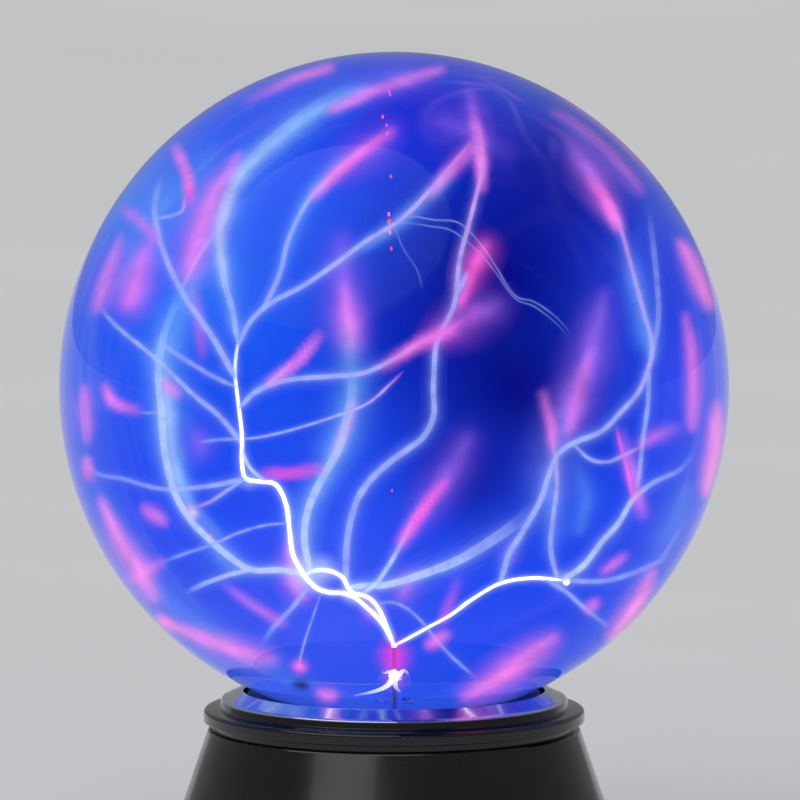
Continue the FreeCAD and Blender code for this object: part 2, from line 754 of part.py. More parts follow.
def pot_wires():
    x = connector_x()[1]
    return [lead_to_board(KNOB_X - LUG_PITCH * k, -3.0, LUG_END, x + 2.4 * k) for k in (-1, 0, 1)]


def switch_wires():
    x = connector_x()[2]
    return [lead_to_board(SWITCH_X - TERMINAL_PITCH * k, 0, TERMINAL_END, x + 2.4 * k) for k in (-1, 0, 1)]


# Rocker switch


def switch_housing():
    """Bezel and open box of the rocker switch, with holes for the rocker's pivots."""
    bezel_top = 1.8
    bezel = block(-10.5, 10.5, -7.5, 7.5, 0, bezel_top, 1.0)
    bezel = bezel.makeFillet(0.6, [e for e in bezel.Edges if e.BoundBox.ZMin > bezel_top - 0.01])
    x, y = SWITCH_BOX
    box = bezel.fuse(block(-x, x, -y, y, -SWITCH_DEPTH, 0.5))
    pivots = Part.makeCylinder(PIVOT_R + RUNNING, 2 * y, Vector(0, -y, ROCKER_PIVOT_Z), Vector(0, 1, 0))
    x, y = SWITCH_OPENING
    box = box.cut(block(-x, x, -y, y, 1.5 - SWITCH_DEPTH, 5)).cut(pivots).removeSplitter()
    box.translate(Vector(SWITCH_X, 0, 0))
    return on_panel(box)


def switch_terminals():
    made = []
    for k in (-1, 0, 1):
        x = SWITCH_X + TERMINAL_PITCH * k
        made.append(on_panel(block(x - 0.4, x + 0.4, -2.4, 2.4, TERMINAL_END, -SWITCH_DEPTH)))
    return made


def tilted_rocker(shape):
    """Puts a shape made for the rocker's middle position at the pressed setting, on the panel."""
    shape.rotate(Vector(0, 0, ROCKER_PIVOT_Z), Vector(0, 1, 0), ROCKER_TILT)
    shape.translate(Vector(SWITCH_X, 0, 0))
    return on_panel(shape)


def switch_rocker():
    """The rocking button, with two flats that meet in a shallow valley, and its pivot stubs."""
    x, y = ROCKER_HALF
    right = [(4, -5), (x, -1.6), (x, ROCKER_END_Z)]
    left = [(-a, b) for a, b in reversed(right)]
    corners = right + [(0, ROCKER_VALLEY_Z)] + left + right[:1]
    body = Part.Face(Part.makePolygon([Vector(a, -y, b) for a, b in corners])).extrude(Vector(0, 2 * y, 0))
    upper = [e for e in body.Edges if e.BoundBox.ZMin > ROCKER_VALLEY_Z - TOUCH]
    body = body.makeFillet(0.5, [e for e in upper if e.BoundBox.ZMax > ROCKER_END_Z - TOUCH])
    reach = y + 0.8
    body = body.fuse(Part.makeCylinder(PIVOT_R, 2 * reach, Vector(0, -reach, ROCKER_PIVOT_Z), Vector(0, 1, 0)))
    return tilted_rocker(body.cut(rocker_mark_shapes()).removeSplitter())


def rocker_mark_shapes():
    """A bar for on and a ring for the sound-driven setting, set into the rocker's two flats."""
    bar = block(-0.35, 0.35, -1.6, 1.6, -0.5, 0.0)
    ring = tube(1.5, 0.9, -0.5, 0.0)
    rise = (ROCKER_END_Z - ROCKER_VALLEY_Z) / ROCKER_HALF[0]
    out = 4.2
    for shape, side in ((bar, 1), (ring, -1)):
        shape.rotate(Vector(0, 0, 0), Vector(0, 1, 0), -side * math.degrees(math.atan(rise)))
        shape.translate(Vector(side * out, 0, ROCKER_VALLEY_Z + out * rise))
    return [bar, ring]


def rocker_marks():
    return [tilted_rocker(mark) for mark in rocker_mark_shapes()]


# Intensity control


def pot_body():
    """The round can of the intensity control, with its bushing through the panel."""
    foot = PANEL_BACK - POT_H
    can = turned((0, foot), (POT_R, foot, 0.6), (POT_R, PANEL_BACK, 0.3), (0, PANEL_BACK))
    made = can.fuse(rod(BUSHING_R, PANEL_BACK - 0.5, BUSHING_TOP))
    for k in (-1, 0, 1):
        made = made.fuse(block(LUG_PITCH * k - 0.6, LUG_PITCH * k + 0.6, -4.2, -1.8, LUG_END, foot))
    made = made.cut(rod(SHAFT_R + RUNNING, PANEL_BACK - 0.8, BUSHING_TOP + 1))
    made.translate(Vector(KNOB_X, 0, 0))
    return on_panel(made.removeSplitter())


def pot_nut():
    return on_panel(hexagon(9.6, 0, 1.8, KNOB_X).cut(rod(BUSHING_R, -1, 3, KNOB_X)))


def pot_shaft():
    return on_panel(rod(SHAFT_R, PANEL_BACK - 0.4, KNOB_TOP - KNOB_SKIN, KNOB_X))


def pointer_shape():
    return block(KNOB_X - 0.5, KNOB_X + 0.5, 2.0, 5.6, KNOB_TOP - 0.6, KNOB_TOP)


def intensity_knob():
    """A fluted knob, hollow underneath to cover the nut."""
    crown = KNOB_TOP - KNOB_SKIN
    knob = turned((0, KNOB_FOOT), (KNOB_R, KNOB_FOOT, 0.3), (KNOB_R - 0.5, KNOB_TOP, 0.8), (0, KNOB_TOP))
    knob = knob.cut(rod(KNOB_R - 1.0, 0, BUSHING_TOP + 0.6)).cut(rod(SHAFT_R, 2, crown))
    for k in range(FLUTES):
        x, y = on_ring(KNOB_R + 0.25, 360 / FLUTES * k)
        knob = knob.cut(rod(0.6, KNOB_FOOT + 1.1, KNOB_TOP - 1.4, x, y))
    knob.translate(Vector(KNOB_X, 0, 0))
    return on_panel(knob.cut(pointer_shape()).removeSplitter())


def knob_pointer():
    return on_panel(pointer_shape())


# Supply inlet


def dc_jack_shell():
    """The inlet's barrel through the panel, with a flange outside."""
    flange_r, flange_top = JACK_BARREL_R + 1.0, 1.5
    barrel = turned(
        (JACK_BORE_R, JACK_BACK),
        (JACK_BARREL_R, JACK_BACK),
        (JACK_BARREL_R, 0),
        (flange_r, 0),
        (flange_r, flange_top, 0.5),
        (JACK_BORE_R, flange_top, 0.3),
    )
    barrel.translate(Vector(JACK_X, 0, 0))
    return on_panel(barrel)


def dc_jack_insulator():
    plug = rod(JACK_BORE_R, JACK_BACK, INSULATOR_TOP, JACK_X)
    return on_panel(plug.cut(rod(JACK_TAIL[0], JACK_BACK - 1, 0, JACK_X)))


def dc_pin():
    """The inlet's centre contact: a bare pin in the socket, and a thinner tail behind it."""
    tail_r, tail_end = JACK_TAIL
    pin = turned(
        (0, tail_end),
        (tail_r, tail_end),
        (tail_r, INSULATOR_TOP),
        (JACK_PIN_R, INSULATOR_TOP),
        (JACK_PIN_R, JACK_PIN_TOP, JACK_PIN_ROUND),
        (0, JACK_PIN_TOP),
    )
    pin.translate(Vector(JACK_X, 0, 0))
    return on_panel(pin)


def jack_nut():
    nut = hexagon(9.4, PANEL_BACK - 2.2, PANEL_BACK, JACK_X)
    return on_panel(nut.cut(rod(JACK_BARREL_R, JACK_BACK - 1, 3, JACK_X)))


SUB_PARTS = {
    "globe_glass": globe_glass,
    "stem_glass": stem_glass,
    "exhaust_tube": exhaust_tube,
    "electrode_pin": electrode_pin,
    "electrode_socket": electrode_socket,
    "hv_lead": hv_lead,
    "globe_seat_ring": globe_seat_ring,
    "collar_ring": collar_ring,
    "collar_screws": collar_screws,
    "neck_sleeve": neck_sleeve,
    "neck_clamp_left": lambda: neck_clamp(-1),
    "neck_clamp_right": lambda: neck_clamp(1),
    "neck_clamp_screws": neck_clamp_screws,
    "base_shell": base_shell,
    "rear_panel": rear_panel,
    "rear_panel_screws": rear_panel_screws,
    "base_plate": base_plate,
    "base_screws": base_screws,
    "rubber_feet": rubber_feet,
    "driver_board": driver_board,
    "board_screws": board_screws,
    "transformer_core": transformer_core,
    "transformer_bobbin": transformer_bobbin,
    "transformer_winding": transformer_winding,
    "heat_sink": heat_sink,
    "power_transistor": power_transistor,
    "transistor_screw": transistor_screw,
    "filter_capacitors": filter_capacitors,
    "film_capacitor": film_capacitor,
    "timer_chip": timer_chip,
    "resistors": resistors,
    "microphone": microphone,
    "board_connectors": board_connectors,
    "power_wires": power_wires,
    "pot_wires": pot_wires,
    "switch_wires": switch_wires,
    "switch_housing": switch_housing,
    "switch_terminals": switch_terminals,
    "switch_rocker": switch_rocker,
    "rocker_marks": rocker_marks,
    "pot_body": pot_body,
    "pot_nut": pot_nut,
    "pot_shaft": pot_shaft,
    "intensity_knob": intensity_knob,
    "knob_pointer": knob_pointer,
    "dc_jack_shell": dc_jack_shell,
    "dc_jack_insulator": dc_jack_insulator,
    "dc_pin": dc_pin,
    "jack_nut": jack_nut,
}


def main():
    os.makedirs("parts", exist_ok=True)
    for name, make in SUB_PARTS.items():
        made = make()
        shape = Part.makeCompound(made) if isinstance(made, list) else made
        sound = shape.isValid() and all(shell.isClosed() for shell in shape.Shells)
        state = "sound" if sound else "NOT SOUND"
        print(f"{name}: {len(shape.Solids)} solid(s), {shape.Volume:.1f} mm3, {state}")
        shape.exportStep(f"parts/{name}.step")


main()
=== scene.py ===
import json
import math

import bpy
import numpy as np
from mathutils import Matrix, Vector
from mathutils.kdtree import KDTree


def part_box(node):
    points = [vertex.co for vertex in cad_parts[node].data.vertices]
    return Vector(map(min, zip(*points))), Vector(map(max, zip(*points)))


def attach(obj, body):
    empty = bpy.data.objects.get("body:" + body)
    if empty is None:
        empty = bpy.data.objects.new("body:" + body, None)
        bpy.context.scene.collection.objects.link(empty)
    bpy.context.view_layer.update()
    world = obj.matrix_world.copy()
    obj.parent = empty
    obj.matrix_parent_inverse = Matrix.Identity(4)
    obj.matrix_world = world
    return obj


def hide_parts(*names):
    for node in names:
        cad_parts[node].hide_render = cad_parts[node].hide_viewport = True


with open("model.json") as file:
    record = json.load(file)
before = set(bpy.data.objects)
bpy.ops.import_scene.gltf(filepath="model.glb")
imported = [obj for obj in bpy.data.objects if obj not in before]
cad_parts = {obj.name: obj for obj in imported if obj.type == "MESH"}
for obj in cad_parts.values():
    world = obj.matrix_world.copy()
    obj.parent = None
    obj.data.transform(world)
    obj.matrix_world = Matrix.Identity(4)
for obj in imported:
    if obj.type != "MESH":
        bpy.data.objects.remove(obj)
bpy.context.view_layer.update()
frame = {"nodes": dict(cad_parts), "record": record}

MM = 0.001
LEAST = 1e-6  # keeps roots and divisions off zero
scene = bpy.context.scene

# ---- sizes, from the frame
globe_low, globe_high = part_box("globe_glass")
TIP = Vector((0, 0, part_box("electrode_pin")[1].z))
STEM_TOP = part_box("stem_glass")[1].z
FLOOR_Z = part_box("rubber_feet")[0].z
RIM_H = 3.3 * MM  # height of the collar's mirror-like rim
RIM_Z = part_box("collar_ring")[1].z - RIM_H

GLOBE_R = min(globe_high.x, globe_high.y, -globe_low.x, -globe_low.y)
CENTRE = Vector((0, 0, globe_high.z - GLOBE_R))
GLASS = 2.5 * MM
NECK_R = 24 * MM
NECK_FILLET = 4 * MM
BEAD_R = 26 * MM
BEAD_H = 3 * MM

# how deep in the glass the glow lies, so that it lights the globe up to its outline
WALL_DEPTH = 0.7 * MM
FILM_DEPTH = 1.4 * MM
REACH = 0.955  # how far from the centre the streams run, in globe radii

# ---- the view that the globe's front is laid out for
LOOK_DOWN = math.radians(6.5)
DISTANCE = 4.0  # from the camera to the globe's centre, in metres
GLOBE_SHARE = 0.419  # the globe's radius as a share of the picture's width
OFF_CENTRE = (-0.0074, 0.0165)  # the globe's centre from the picture's, as shares of its width
SENSOR = 36.0

RIGHT = Vector((1, 0, 0))
UPWARD = Vector((0, math.sin(LOOK_DOWN), math.cos(LOOK_DOWN)))
AWAY = Vector((0, math.cos(LOOK_DOWN), -math.sin(LOOK_DOWN)))

# ---- colours of the glow, in sRGB
WHITE = (1.0, 0.98, 1.0)
PALE = (0.80, 0.88, 1.0)
LILAC = (0.66, 0.72, 1.0)
SKY = (0.48, 0.74, 1.0)
AZURE = (0.30, 0.52, 1.0)
VIOLET = (0.66, 0.45, 1.0)
PINK = (1.0, 0.53, 0.95)
ROSE = (1.0, 0.38, 0.86)
MAGENTA = (1.0, 0.22, 0.80)
EMBER = (1.0, 0.30, 0.28)
DUSK = (0.03, 0.04, 0.30)


def linear(colour):
    """sRGB to scene-linear, for a tuple or an array."""
    c = np.asarray(colour, float)
    return np.where(c <= 0.04045, c / 12.92, ((c + 0.055) / 1.055) ** 2.4)


# ---- materials

BLACK = (0, 0, 0)
FULL = (1, 1, 1)


class Finish:
    """A material with one Principled shader, and short calls for the nodes that feed it."""

    def __init__(self, name, **constants):
        self.material = bpy.data.materials.new(name)
        self.material.use_nodes = True
        self.nodes = self.material.node_tree.nodes
        self.links = self.material.node_tree.links
        self.shader = self.nodes["Principled BSDF"]
        for socket, value in constants.items():
            self.shader.inputs[socket.replace("_", " ")].default_value = value

    def node(self, kind, **settings):
        made = self.nodes.new("ShaderNode" + kind)
        for name, value in settings.items():
            setattr(made, name, value)
        return made

    def link(self, output, socket):
        """Links to a socket, or by its name to one of the shader's."""
        self.links.new(output, self.shader.inputs[socket] if isinstance(socket, str) else socket)

    def place(self, stretch=(1, 1, 1)):
        """Object coordinates, in metres, stretched along the axes."""
        scaled = self.node("VectorMath", operation="MULTIPLY")
        scaled.inputs[1].default_value = stretch
        self.link(self.node("TexCoord").outputs["Object"], scaled.inputs[0])
        return scaled.outputs[0]

    def noise(self, size, detail=3.0, stretch=(1, 1, 1)):
        """Noise with features about size metres across."""
        made = self.node("TexNoise")
        made.inputs["Scale"].default_value = 1 / size
        made.inputs["Detail"].default_value = detail
        self.link(self.place(stretch), made.inputs["Vector"])
        return made.outputs["Fac"]

    def span(self, value, low, high, start=0.3, end=0.7):
        """value carried from start..end to low..high."""
        made = self.node("MapRange")
        for socket, number in zip(("From Min", "From Max", "To Min", "To Max"), (start, end, low, high)):
            made.inputs[socket].default_value = number
        self.link(value, made.inputs["Value"])
        return made.outputs["Result"]

    def mix(self, share, one, two, blend="MIX"):
        """Colours one and two mixed by share; each is a socket or three numbers."""
        made = self.node("Mix", data_type="RGBA", blend_type=blend)
        for socket, value in zip((made.inputs[0], made.inputs[6], made.inputs[7]), (share, one, two)):
            if isinstance(value, bpy.types.NodeSocket):
                self.link(value, socket)
            elif isinstance(value, (int, float)):
                socket.default_value = value
            else:
                socket.default_value = (*value, 1)
        return made.outputs[2]

    def bump(self, height, depth):
        made = self.node("Bump")
        made.inputs["Distance"].default_value = depth
        self.link(height, made.inputs["Height"])
        self.link(made.outputs["Normal"], "Normal")

    def both(self, one, two):
        """The product of two shares, as a colour."""
        return self.mix(1.0, self.mix(one, BLACK, FULL), self.mix(two, BLACK, FULL), "MULTIPLY")

    def edges(self, width):
        """About 1 on sharp edges and 0 on flats."""
        rounded = self.node("Bevel", samples=4)
        rounded.inputs["Radius"].default_value = width
        cosine = self.node("VectorMath", operation="DOT_PRODUCT")
        self.link(rounded.outputs[0], cosine.inputs[0])
        self.link(self.node("NewGeometry").outputs["Normal"], cosine.inputs[1])
        return self.span(cosine.outputs["Value"], 1.0, 0.0, 0.86, 0.99)


def shade(colour, by):
    return tuple(min(1.0, c * by) for c in colour)


def moulded(name, colour, roughness, worn=0.12, grain=0.35, depth=0.02, metallic=0.0):
    """Moulded plastic or rubber, or a coating: mottled colour, smudged gloss, fine grain and worn edges."""
    f = Finish(name, Metallic=metallic)
    body = f.mix(f.span(f.noise(14 * MM, 4), 0, 1), shade(colour, 0.82), shade(colour, 1.2))
    patches = f.span(f.noise(3 * MM, 5), 0, 1, 0.42, 0.62)
    paler = tuple(c + (1 - c) * worn for c in colour)
    f.link(f.mix(f.both(patches, f.edges(0.5 * MM)), body, paler), "Base Color")
    f.link(f.span(f.noise(22 * MM, 6, (1, 1, 0.6)), roughness - 0.05, roughness + 0.05), "Roughness")
    f.bump(f.noise(grain * MM, 2), depth * MM)
    return f.material


POLISHED_RIM = (0.66, 0.68, 0.74)


def gloss_black(name, colour, roughness, coat, polished=None):
    """High-gloss black moulding with flow marks, dust and smudges. It is like a mirror above polished."""
    f = Finish(name, Specular_IOR_Level=0.4, Coat_Weight=coat, Coat_Roughness=0.03)
    dust = f.span(f.noise(0.9 * MM, 6), 0, 1, 0.66, 0.74)
    flow = f.mix(f.span(f.noise(30 * MM, 3, (1, 1, 3)), 0, 1), shade(colour, 0.75), shade(colour, 1.3))
    body = f.mix(dust, flow, shade(colour, 4.0))
    if polished is not None:
        parts = f.node("SeparateXYZ")
        f.link(f.place(), parts.inputs[0])
        top = f.span(parts.outputs["Z"], 0, 1, polished, polished + 0.5 * MM)
        worn = f.span(f.noise(7 * MM, 5), 0.9, 1.0)
        body = f.mix(top, body, POLISHED_RIM)
        f.link(f.both(top, worn), "Metallic")
    f.link(body, "Base Color")
    f.link(f.span(f.noise(18 * MM, 7), roughness - 0.03, roughness + 0.09), "Roughness")
    f.bump(f.noise(6 * MM, 2, (1, 1, 2)), 0.006 * MM)
    return f.material


def metal(name, colour, roughness, brushed=(1, 1, 1), depth=0.008 * MM):
    """Bare or plated metal: fine directional scratches, cloudy tarnish and brighter rubbed edges."""
    f = Finish(name, Metallic=1.0)
    tarnish = f.span(f.noise(5 * MM, 6), 0, 1, 0.35, 0.7)
    body = f.mix(tarnish, shade(colour, 1.08), shade(colour, 0.72))
    f.link(f.mix(f.edges(0.25 * MM), body, shade(colour, 1.3)), "Base Color")
    scratches = f.noise(0.5 * MM, 4, brushed)
    f.link(f.span(scratches, roughness - 0.08, roughness + 0.1), "Roughness")
    f.bump(scratches, depth)
    return f.material


def enamelled_wire(name, colour):
    """Fine turns of enamelled copper wire laid side by side."""
    f = Finish(name, Metallic=0.85, Coat_Weight=0.6, Coat_Roughness=0.1)
    turns = f.node("TexWave", bands_direction="X")
    turns.inputs["Scale"].default_value = 500.0
    turns.inputs["Distortion"].default_value = 0.6
    f.link(f.place(), turns.inputs["Vector"])
    f.link(f.mix(turns.outputs["Fac"], shade(colour, 0.5), shade(colour, 1.15)), "Base Color")
    f.link(f.span(f.noise(3 * MM), 0.25, 0.42), "Roughness")
    f.bump(turns.outputs["Fac"], 0.08 * MM)
    return f.material


def solder_mask(name, colour):
    """Green board lacquer with tracks that show through as paler raised lines."""
    f = Finish(name, Coat_Weight=0.4, Coat_Roughness=0.15)
    cells = f.node("TexBrick")
    cells.inputs["Scale"].default_value = 90.0
    cells.inputs["Mortar Size"].default_value = 0.03
    f.link(f.place(), cells.inputs["Vector"])
    tracks = f.span(cells.outputs["Fac"], 0, 1, 0.2, 0.8)
    f.link(f.mix(tracks, shade(colour, 0.85), shade(colour, 1.7)), "Base Color")
    f.link(f.span(f.noise(8 * MM, 5), 0.28, 0.45), "Roughness")
    f.bump(tracks, 0.03 * MM)
    return f.material


ROOM_GLARE = (0.1, 0.1, 0.1, 1)  # the lit gas outshines most of what the glass would mirror


def clear_glass(name, tint, ripple=0.004 * MM, smear=0.02):
    """Blown glass: a faint tint, slow ripples from blowing and a little haze from handling."""
    f = Finish(name, Transmission_Weight=1.0, IOR=1.47, Base_Color=(*tint, 1), Specular_Tint=ROOM_GLARE)
    f.link(f.span(f.noise(35 * MM, 5), 0.0, smear, 0.45, 0.75), "Roughness")
    f.bump(f.noise(40 * MM, 1), ripple)
    return f.material


def silicone(name, colour):
    f = Finish(name, Subsurface_Weight=0.2, Sheen_Weight=0.15)
    f.link(f.mix(f.span(f.noise(6 * MM, 4), 0, 1), shade(colour, 0.9), shade(colour, 1.08)), "Base Color")
    f.link(f.span(f.noise(4 * MM, 4), 0.38, 0.55), "Roughness")
    f.bump(f.noise(0.6 * MM), 0.01 * MM)
    return f.material


def glow_finish(name, one_sided, flicker, grain):
    """Lit gas: colour and density come from the mesh, and slow noise makes them drift."""
    f = Finish(name, Base_Color=(0, 0, 0, 1), Specular_IOR_Level=0.0, Roughness=0.05, Emission_Strength=1.0)
    painted = f.node("Attribute", attribute_name="glow")
    drift = f.span(f.noise(grain, 4), 1 - flicker, 1 + flicker)
    gain = f.node("VectorMath", operation="SCALE")
    f.link(painted.outputs["Color"], gain.inputs[0])
    f.link(drift, gain.inputs["Scale"])
    f.link(gain.outputs[0], "Emission Color")
    if one_sided:
        side = f.node("NewGeometry").outputs["Backfacing"]
        f.link(f.span(side, 1.0, 0.0, 0.0, 1.0), "Alpha")
        f.material.use_backface_culling = True
    else:
        density = f.node("Math", operation="MULTIPLY")
        f.link(painted.outputs["Alpha"], density.inputs[0])
        f.link(drift, density.inputs[1])
        f.link(density.outputs[0], "Alpha")
    return f.material


# colour, roughness, wear, the grain's size and depth in mm, and metallic
MOULDED = {
    "lead_red": ((0.42, 0.03, 0.02), 0.45, 0.03),
    "wire_black": ((0.02, 0.02, 0.02), 0.4, 0.03),
    "wire_yellow": ((0.72, 0.5, 0.05), 0.4, 0.05),
    "wire_blue": ((0.04, 0.11, 0.48), 0.4, 0.05),
    "seat_rubber": ((0.016, 0.016, 0.018), 0.55, 0.03, 0.5, 0.03),
    "foot_rubber": ((0.03, 0.03, 0.032), 0.7, 0.08, 0.6, 0.06),
    "panel_black": ((0.016, 0.016, 0.018), 0.48, 0.06, 0.5, 0.05),
    "clamp_plastic": ((0.05, 0.05, 0.052), 0.5),
    "screw_black": ((0.03, 0.03, 0.03), 0.4, 0.35, 0.35, 0.02, 0.8),
    "ferrite": ((0.055, 0.055, 0.06), 0.5, 0.15, 0.4, 0.03),
    "bobbin": ((0.08, 0.07, 0.06), 0.45),
    "epoxy_black": ((0.022, 0.022, 0.024), 0.5, 0.12, 0.3, 0.03),
    "capacitor_sleeve": ((0.02, 0.035, 0.15), 0.25, 0.06),
    "film_box": ((0.38, 0.06, 0.03), 0.3, 0.06),
    "resistor_tan": ((0.58, 0.43, 0.27), 0.4, 0.06),
    "connector_white": ((0.74, 0.72, 0.65), 0.42, 0.1),
    "switch_black": ((0.014, 0.014, 0.015), 0.3, 0.06, 0.4, 0.02),
    "rocker_black": ((0.017, 0.017, 0.019), 0.22, 0.08, 0.4, 0.01),
    "mark_white": ((0.8, 0.8, 0.78), 0.5, 0.05),
    "knob_black": ((0.02, 0.02, 0.022), 0.42, 0.1, 0.4, 0.04),
    "insulator": ((0.05, 0.05, 0.05), 0.5),
}
OTHERS = {
    "globe_glass": (clear_glass, (0.985, 0.99, 1.0)),
    "stem_glass": (clear_glass, (0.93, 0.96, 1.0), 0.03 * MM, 0.06),
    "electrode_metal": (metal, (0.55, 0.53, 0.5), 0.3, (1, 1, 0.1)),
    "tinned_contact": (metal, (0.72, 0.7, 0.66), 0.22),
    "silicone": (silicone, (0.62, 0.62, 0.6)),
    "collar_gloss": (gloss_black, (0.004, 0.004, 0.005), 0.08, 0.15, RIM_Z),
    "shell_gloss": (gloss_black, (0.005, 0.005, 0.006), 0.12, 0.15),
    "screw_steel": (metal, (0.58, 0.57, 0.55), 0.3),
    "board_green": (solder_mask, (0.02, 0.14, 0.05)),
    "copper": (enamelled_wire, (0.6, 0.24, 0.1)),
    "sink_aluminium": (metal, (0.62, 0.63, 0.65), 0.36, (1, 1, 0.05)),
    "can_metal": (metal, (0.66, 0.66, 0.67), 0.3),
    "nickel": (metal, (0.68, 0.66, 0.62), 0.2),
    "shaft_metal": (metal, (0.7, 0.7, 0.71), 0.3),
}
finishes = {slot: moulded(slot, *row) for slot, row in MOULDED.items()}
finishes.update((slot, make(slot, *row)) for slot, (make, *row) in OTHERS.items())


def dress_cad_nodes():
    """Every CAD node takes the finish of its slot in the record."""
    for part in frame["record"]["subparts"]:
        mesh = frame["nodes"][part["node"]].data
        mesh.materials.clear()
        mesh.materials.append(finishes[part["material_slot"]])


# ---- mesh helpers


def placed(name, data):
    """An object of this data, linked into the scene."""
    made = bpy.data.objects.new(name, data)
    scene.collection.objects.link(made)
    return made


def piece(name, vertices, faces, finish, slot):
    """A smooth mesh object that rides on the base and takes the given finish; slot is not used."""
    mesh = bpy.data.meshes.new(name)
    mesh.from_pydata([tuple(v) for v in vertices], [], faces)
    mesh.polygons.foreach_set("use_smooth", [True] * len(mesh.polygons))
    mesh.materials.append(finish)
    made = placed(name, mesh)
    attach(made, "base")
    return made


def lathe(outline, around, inward=False):
    """Vertices and faces of an outline of (radius, height) turned about Z.
    It starts and ends on the axis, or it is closed."""
    angles = [2 * math.pi * k / around for k in range(around)]
    turns = [(math.cos(a), math.sin(a)) for a in angles]
    vertices = []
    rings = []
    for radius, height in outline:
        start = len(vertices)
        if radius == 0:
            vertices.append((0, 0, height))
            rings.append([start] * around)
        else:
            vertices += [(radius * c, radius * s, height) for c, s in turns]
            rings.append(list(range(start, start + around)))
    pairs = list(zip(rings, rings[1:]))
    if outline[0][0] != 0:
        pairs.append((rings[-1], rings[0]))
    faces = []
    for one, two in pairs:
        for k in range(around):
            n = (k + 1) % around
            corners = list(dict.fromkeys([one[k], two[k], two[n], one[n]]))
            faces.append(corners[::-1] if inward else corners)
    return vertices, faces


ON_AXIS = 1e-9
BALL_RINGS = 14
BALL_AROUND = 24


def arc(centre, radius, start, end, steps):
    """(radius, height) points of an arc about a centre; the angles are from the top, in degrees."""
    made = []
    for k in range(steps + 1):
        a = math.radians(start + (end - start) * k / steps)
        out = centre[0] + radius * math.sin(a)
        made.append((0 if abs(out) < ON_AXIS else out, centre[1] + radius * math.cos(a)))
    return made


def ball(centre, radius, tall=1.0):
    """A small closed ball, or an egg when tall isn't 1."""
    vertices, faces = lathe(arc((0, 0), radius, 0, 180, BALL_RINGS), BALL_AROUND)
    return [tuple(centre + Vector((x, y, z * tall))) for x, y, z in vertices], faces


def hundredths(points):
    """Points that are given in hundredths of the globe's radius, in radii."""
    return [(u / 100, v / 100) for u, v in points]


def pair(value):
    """A value for each end: a pair as it is, or one number or colour for both."""
    return value if np.shape(value)[:1] == (2,) else (value, value)


def gather(shapes):
    """The vertices and faces of several shapes as one, and how many vertices each brought."""
    vertices, faces = [], []
    for v, f in shapes:
        faces += [[i + len(vertices) for i in face] for face in f]
        vertices += v
    return vertices, faces, [len(v) for v, _ in shapes]


def smooth_path(points, step):
    """A Catmull-Rom curve through points, sampled about every step."""
    p = [np.array(q, float) for q in points]
    p = [2 * p[0] - p[1]] + p + [2 * p[-1] - p[-2]]
    made = []
    for a, b, c, d in zip(p, p[1:], p[2:], p[3:]):
        count = max(2, int(np.linalg.norm(c - b) / step))
        for k in range(count):
            t = k / count
            bend = (2 * a - 5 * b + 4 * c - d) * t**2 + (3 * b - a - 3 * c + d) * t**3
            made.append(0.5 * (2 * b + (c - a) * t + bend))
    made.append(p[-2])
    return np.array(made)


# ---- globe glass

GLOBE_RINGS = 96
FILLET_STEPS = 6
BEAD_STEPS = 8


def blown(radius, neck):
    """Outline of one surface of the globe, from its top to the neck's straight part."""
    out = neck + NECK_FILLET
    reach = radius + NECK_FILLET
    joint = math.degrees(math.asin(out / reach))
    bend = (out, CENTRE.z - math.sqrt(reach**2 - out**2))
    return (arc((0, CENTRE.z), radius, 0, 180 - joint, GLOBE_RINGS)
            + arc(bend, NECK_FILLET, -joint, -90, FILLET_STEPS)[1:])


def globe_glass():
    """The blown globe with its wall, its neck and the rolled bead at the neck's end."""
    end = globe_low.z
    outside = blown(GLOBE_R, NECK_R)
    inside = blown(GLOBE_R - GLASS, NECK_R - GLASS)
    bead_half = BEAD_H / 2
    bead = arc((BEAD_R - bead_half, end + bead_half), bead_half, 0, 180, BEAD_STEPS)
    outline = outside + [(NECK_R, end + BEAD_H)] + bead + [(NECK_R - GLASS, end)] + inside[::-1]
    surface = lathe(outline, 2 * GLOBE_RINGS)
    made = piece("globe_glass_blown", *surface, finishes["globe_glass"], "globe_glass")
    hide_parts("globe_glass")


# ---- streams


def seen_at(u, v, lean, reach=REACH):
    """The point that the front view shows at (u, v), in globe radii from the globe's centre.
    lean is its depth: -1 on the near side of a sphere of that reach, 1 on the far side."""
    rho = math.hypot(u, v)
    if rho > reach:
        u, v, rho = u * reach / rho, v * reach / rho, reach
    depth = lean * math.sqrt(max(reach**2 - rho**2, 0.0))
    return CENTRE + GLOBE_R * (RIGHT * u + UPWARD * v + AWAY * depth)


def place_on_front(point):
    """(u, v, lean) of a point of the frame."""
    d = (Vector(point) - CENTRE) / GLOBE_R
    u, v, depth = d.dot(RIGHT), d.dot(UPWARD), d.dot(AWAY)
    most = math.sqrt(max(REACH**2 - u * u - v * v, LEAST))
    return u, v, max(-1.0, min(1.0, depth / most))


PATH_STEP = 0.012  # spacing of a stream's points on the front view, in globe radii


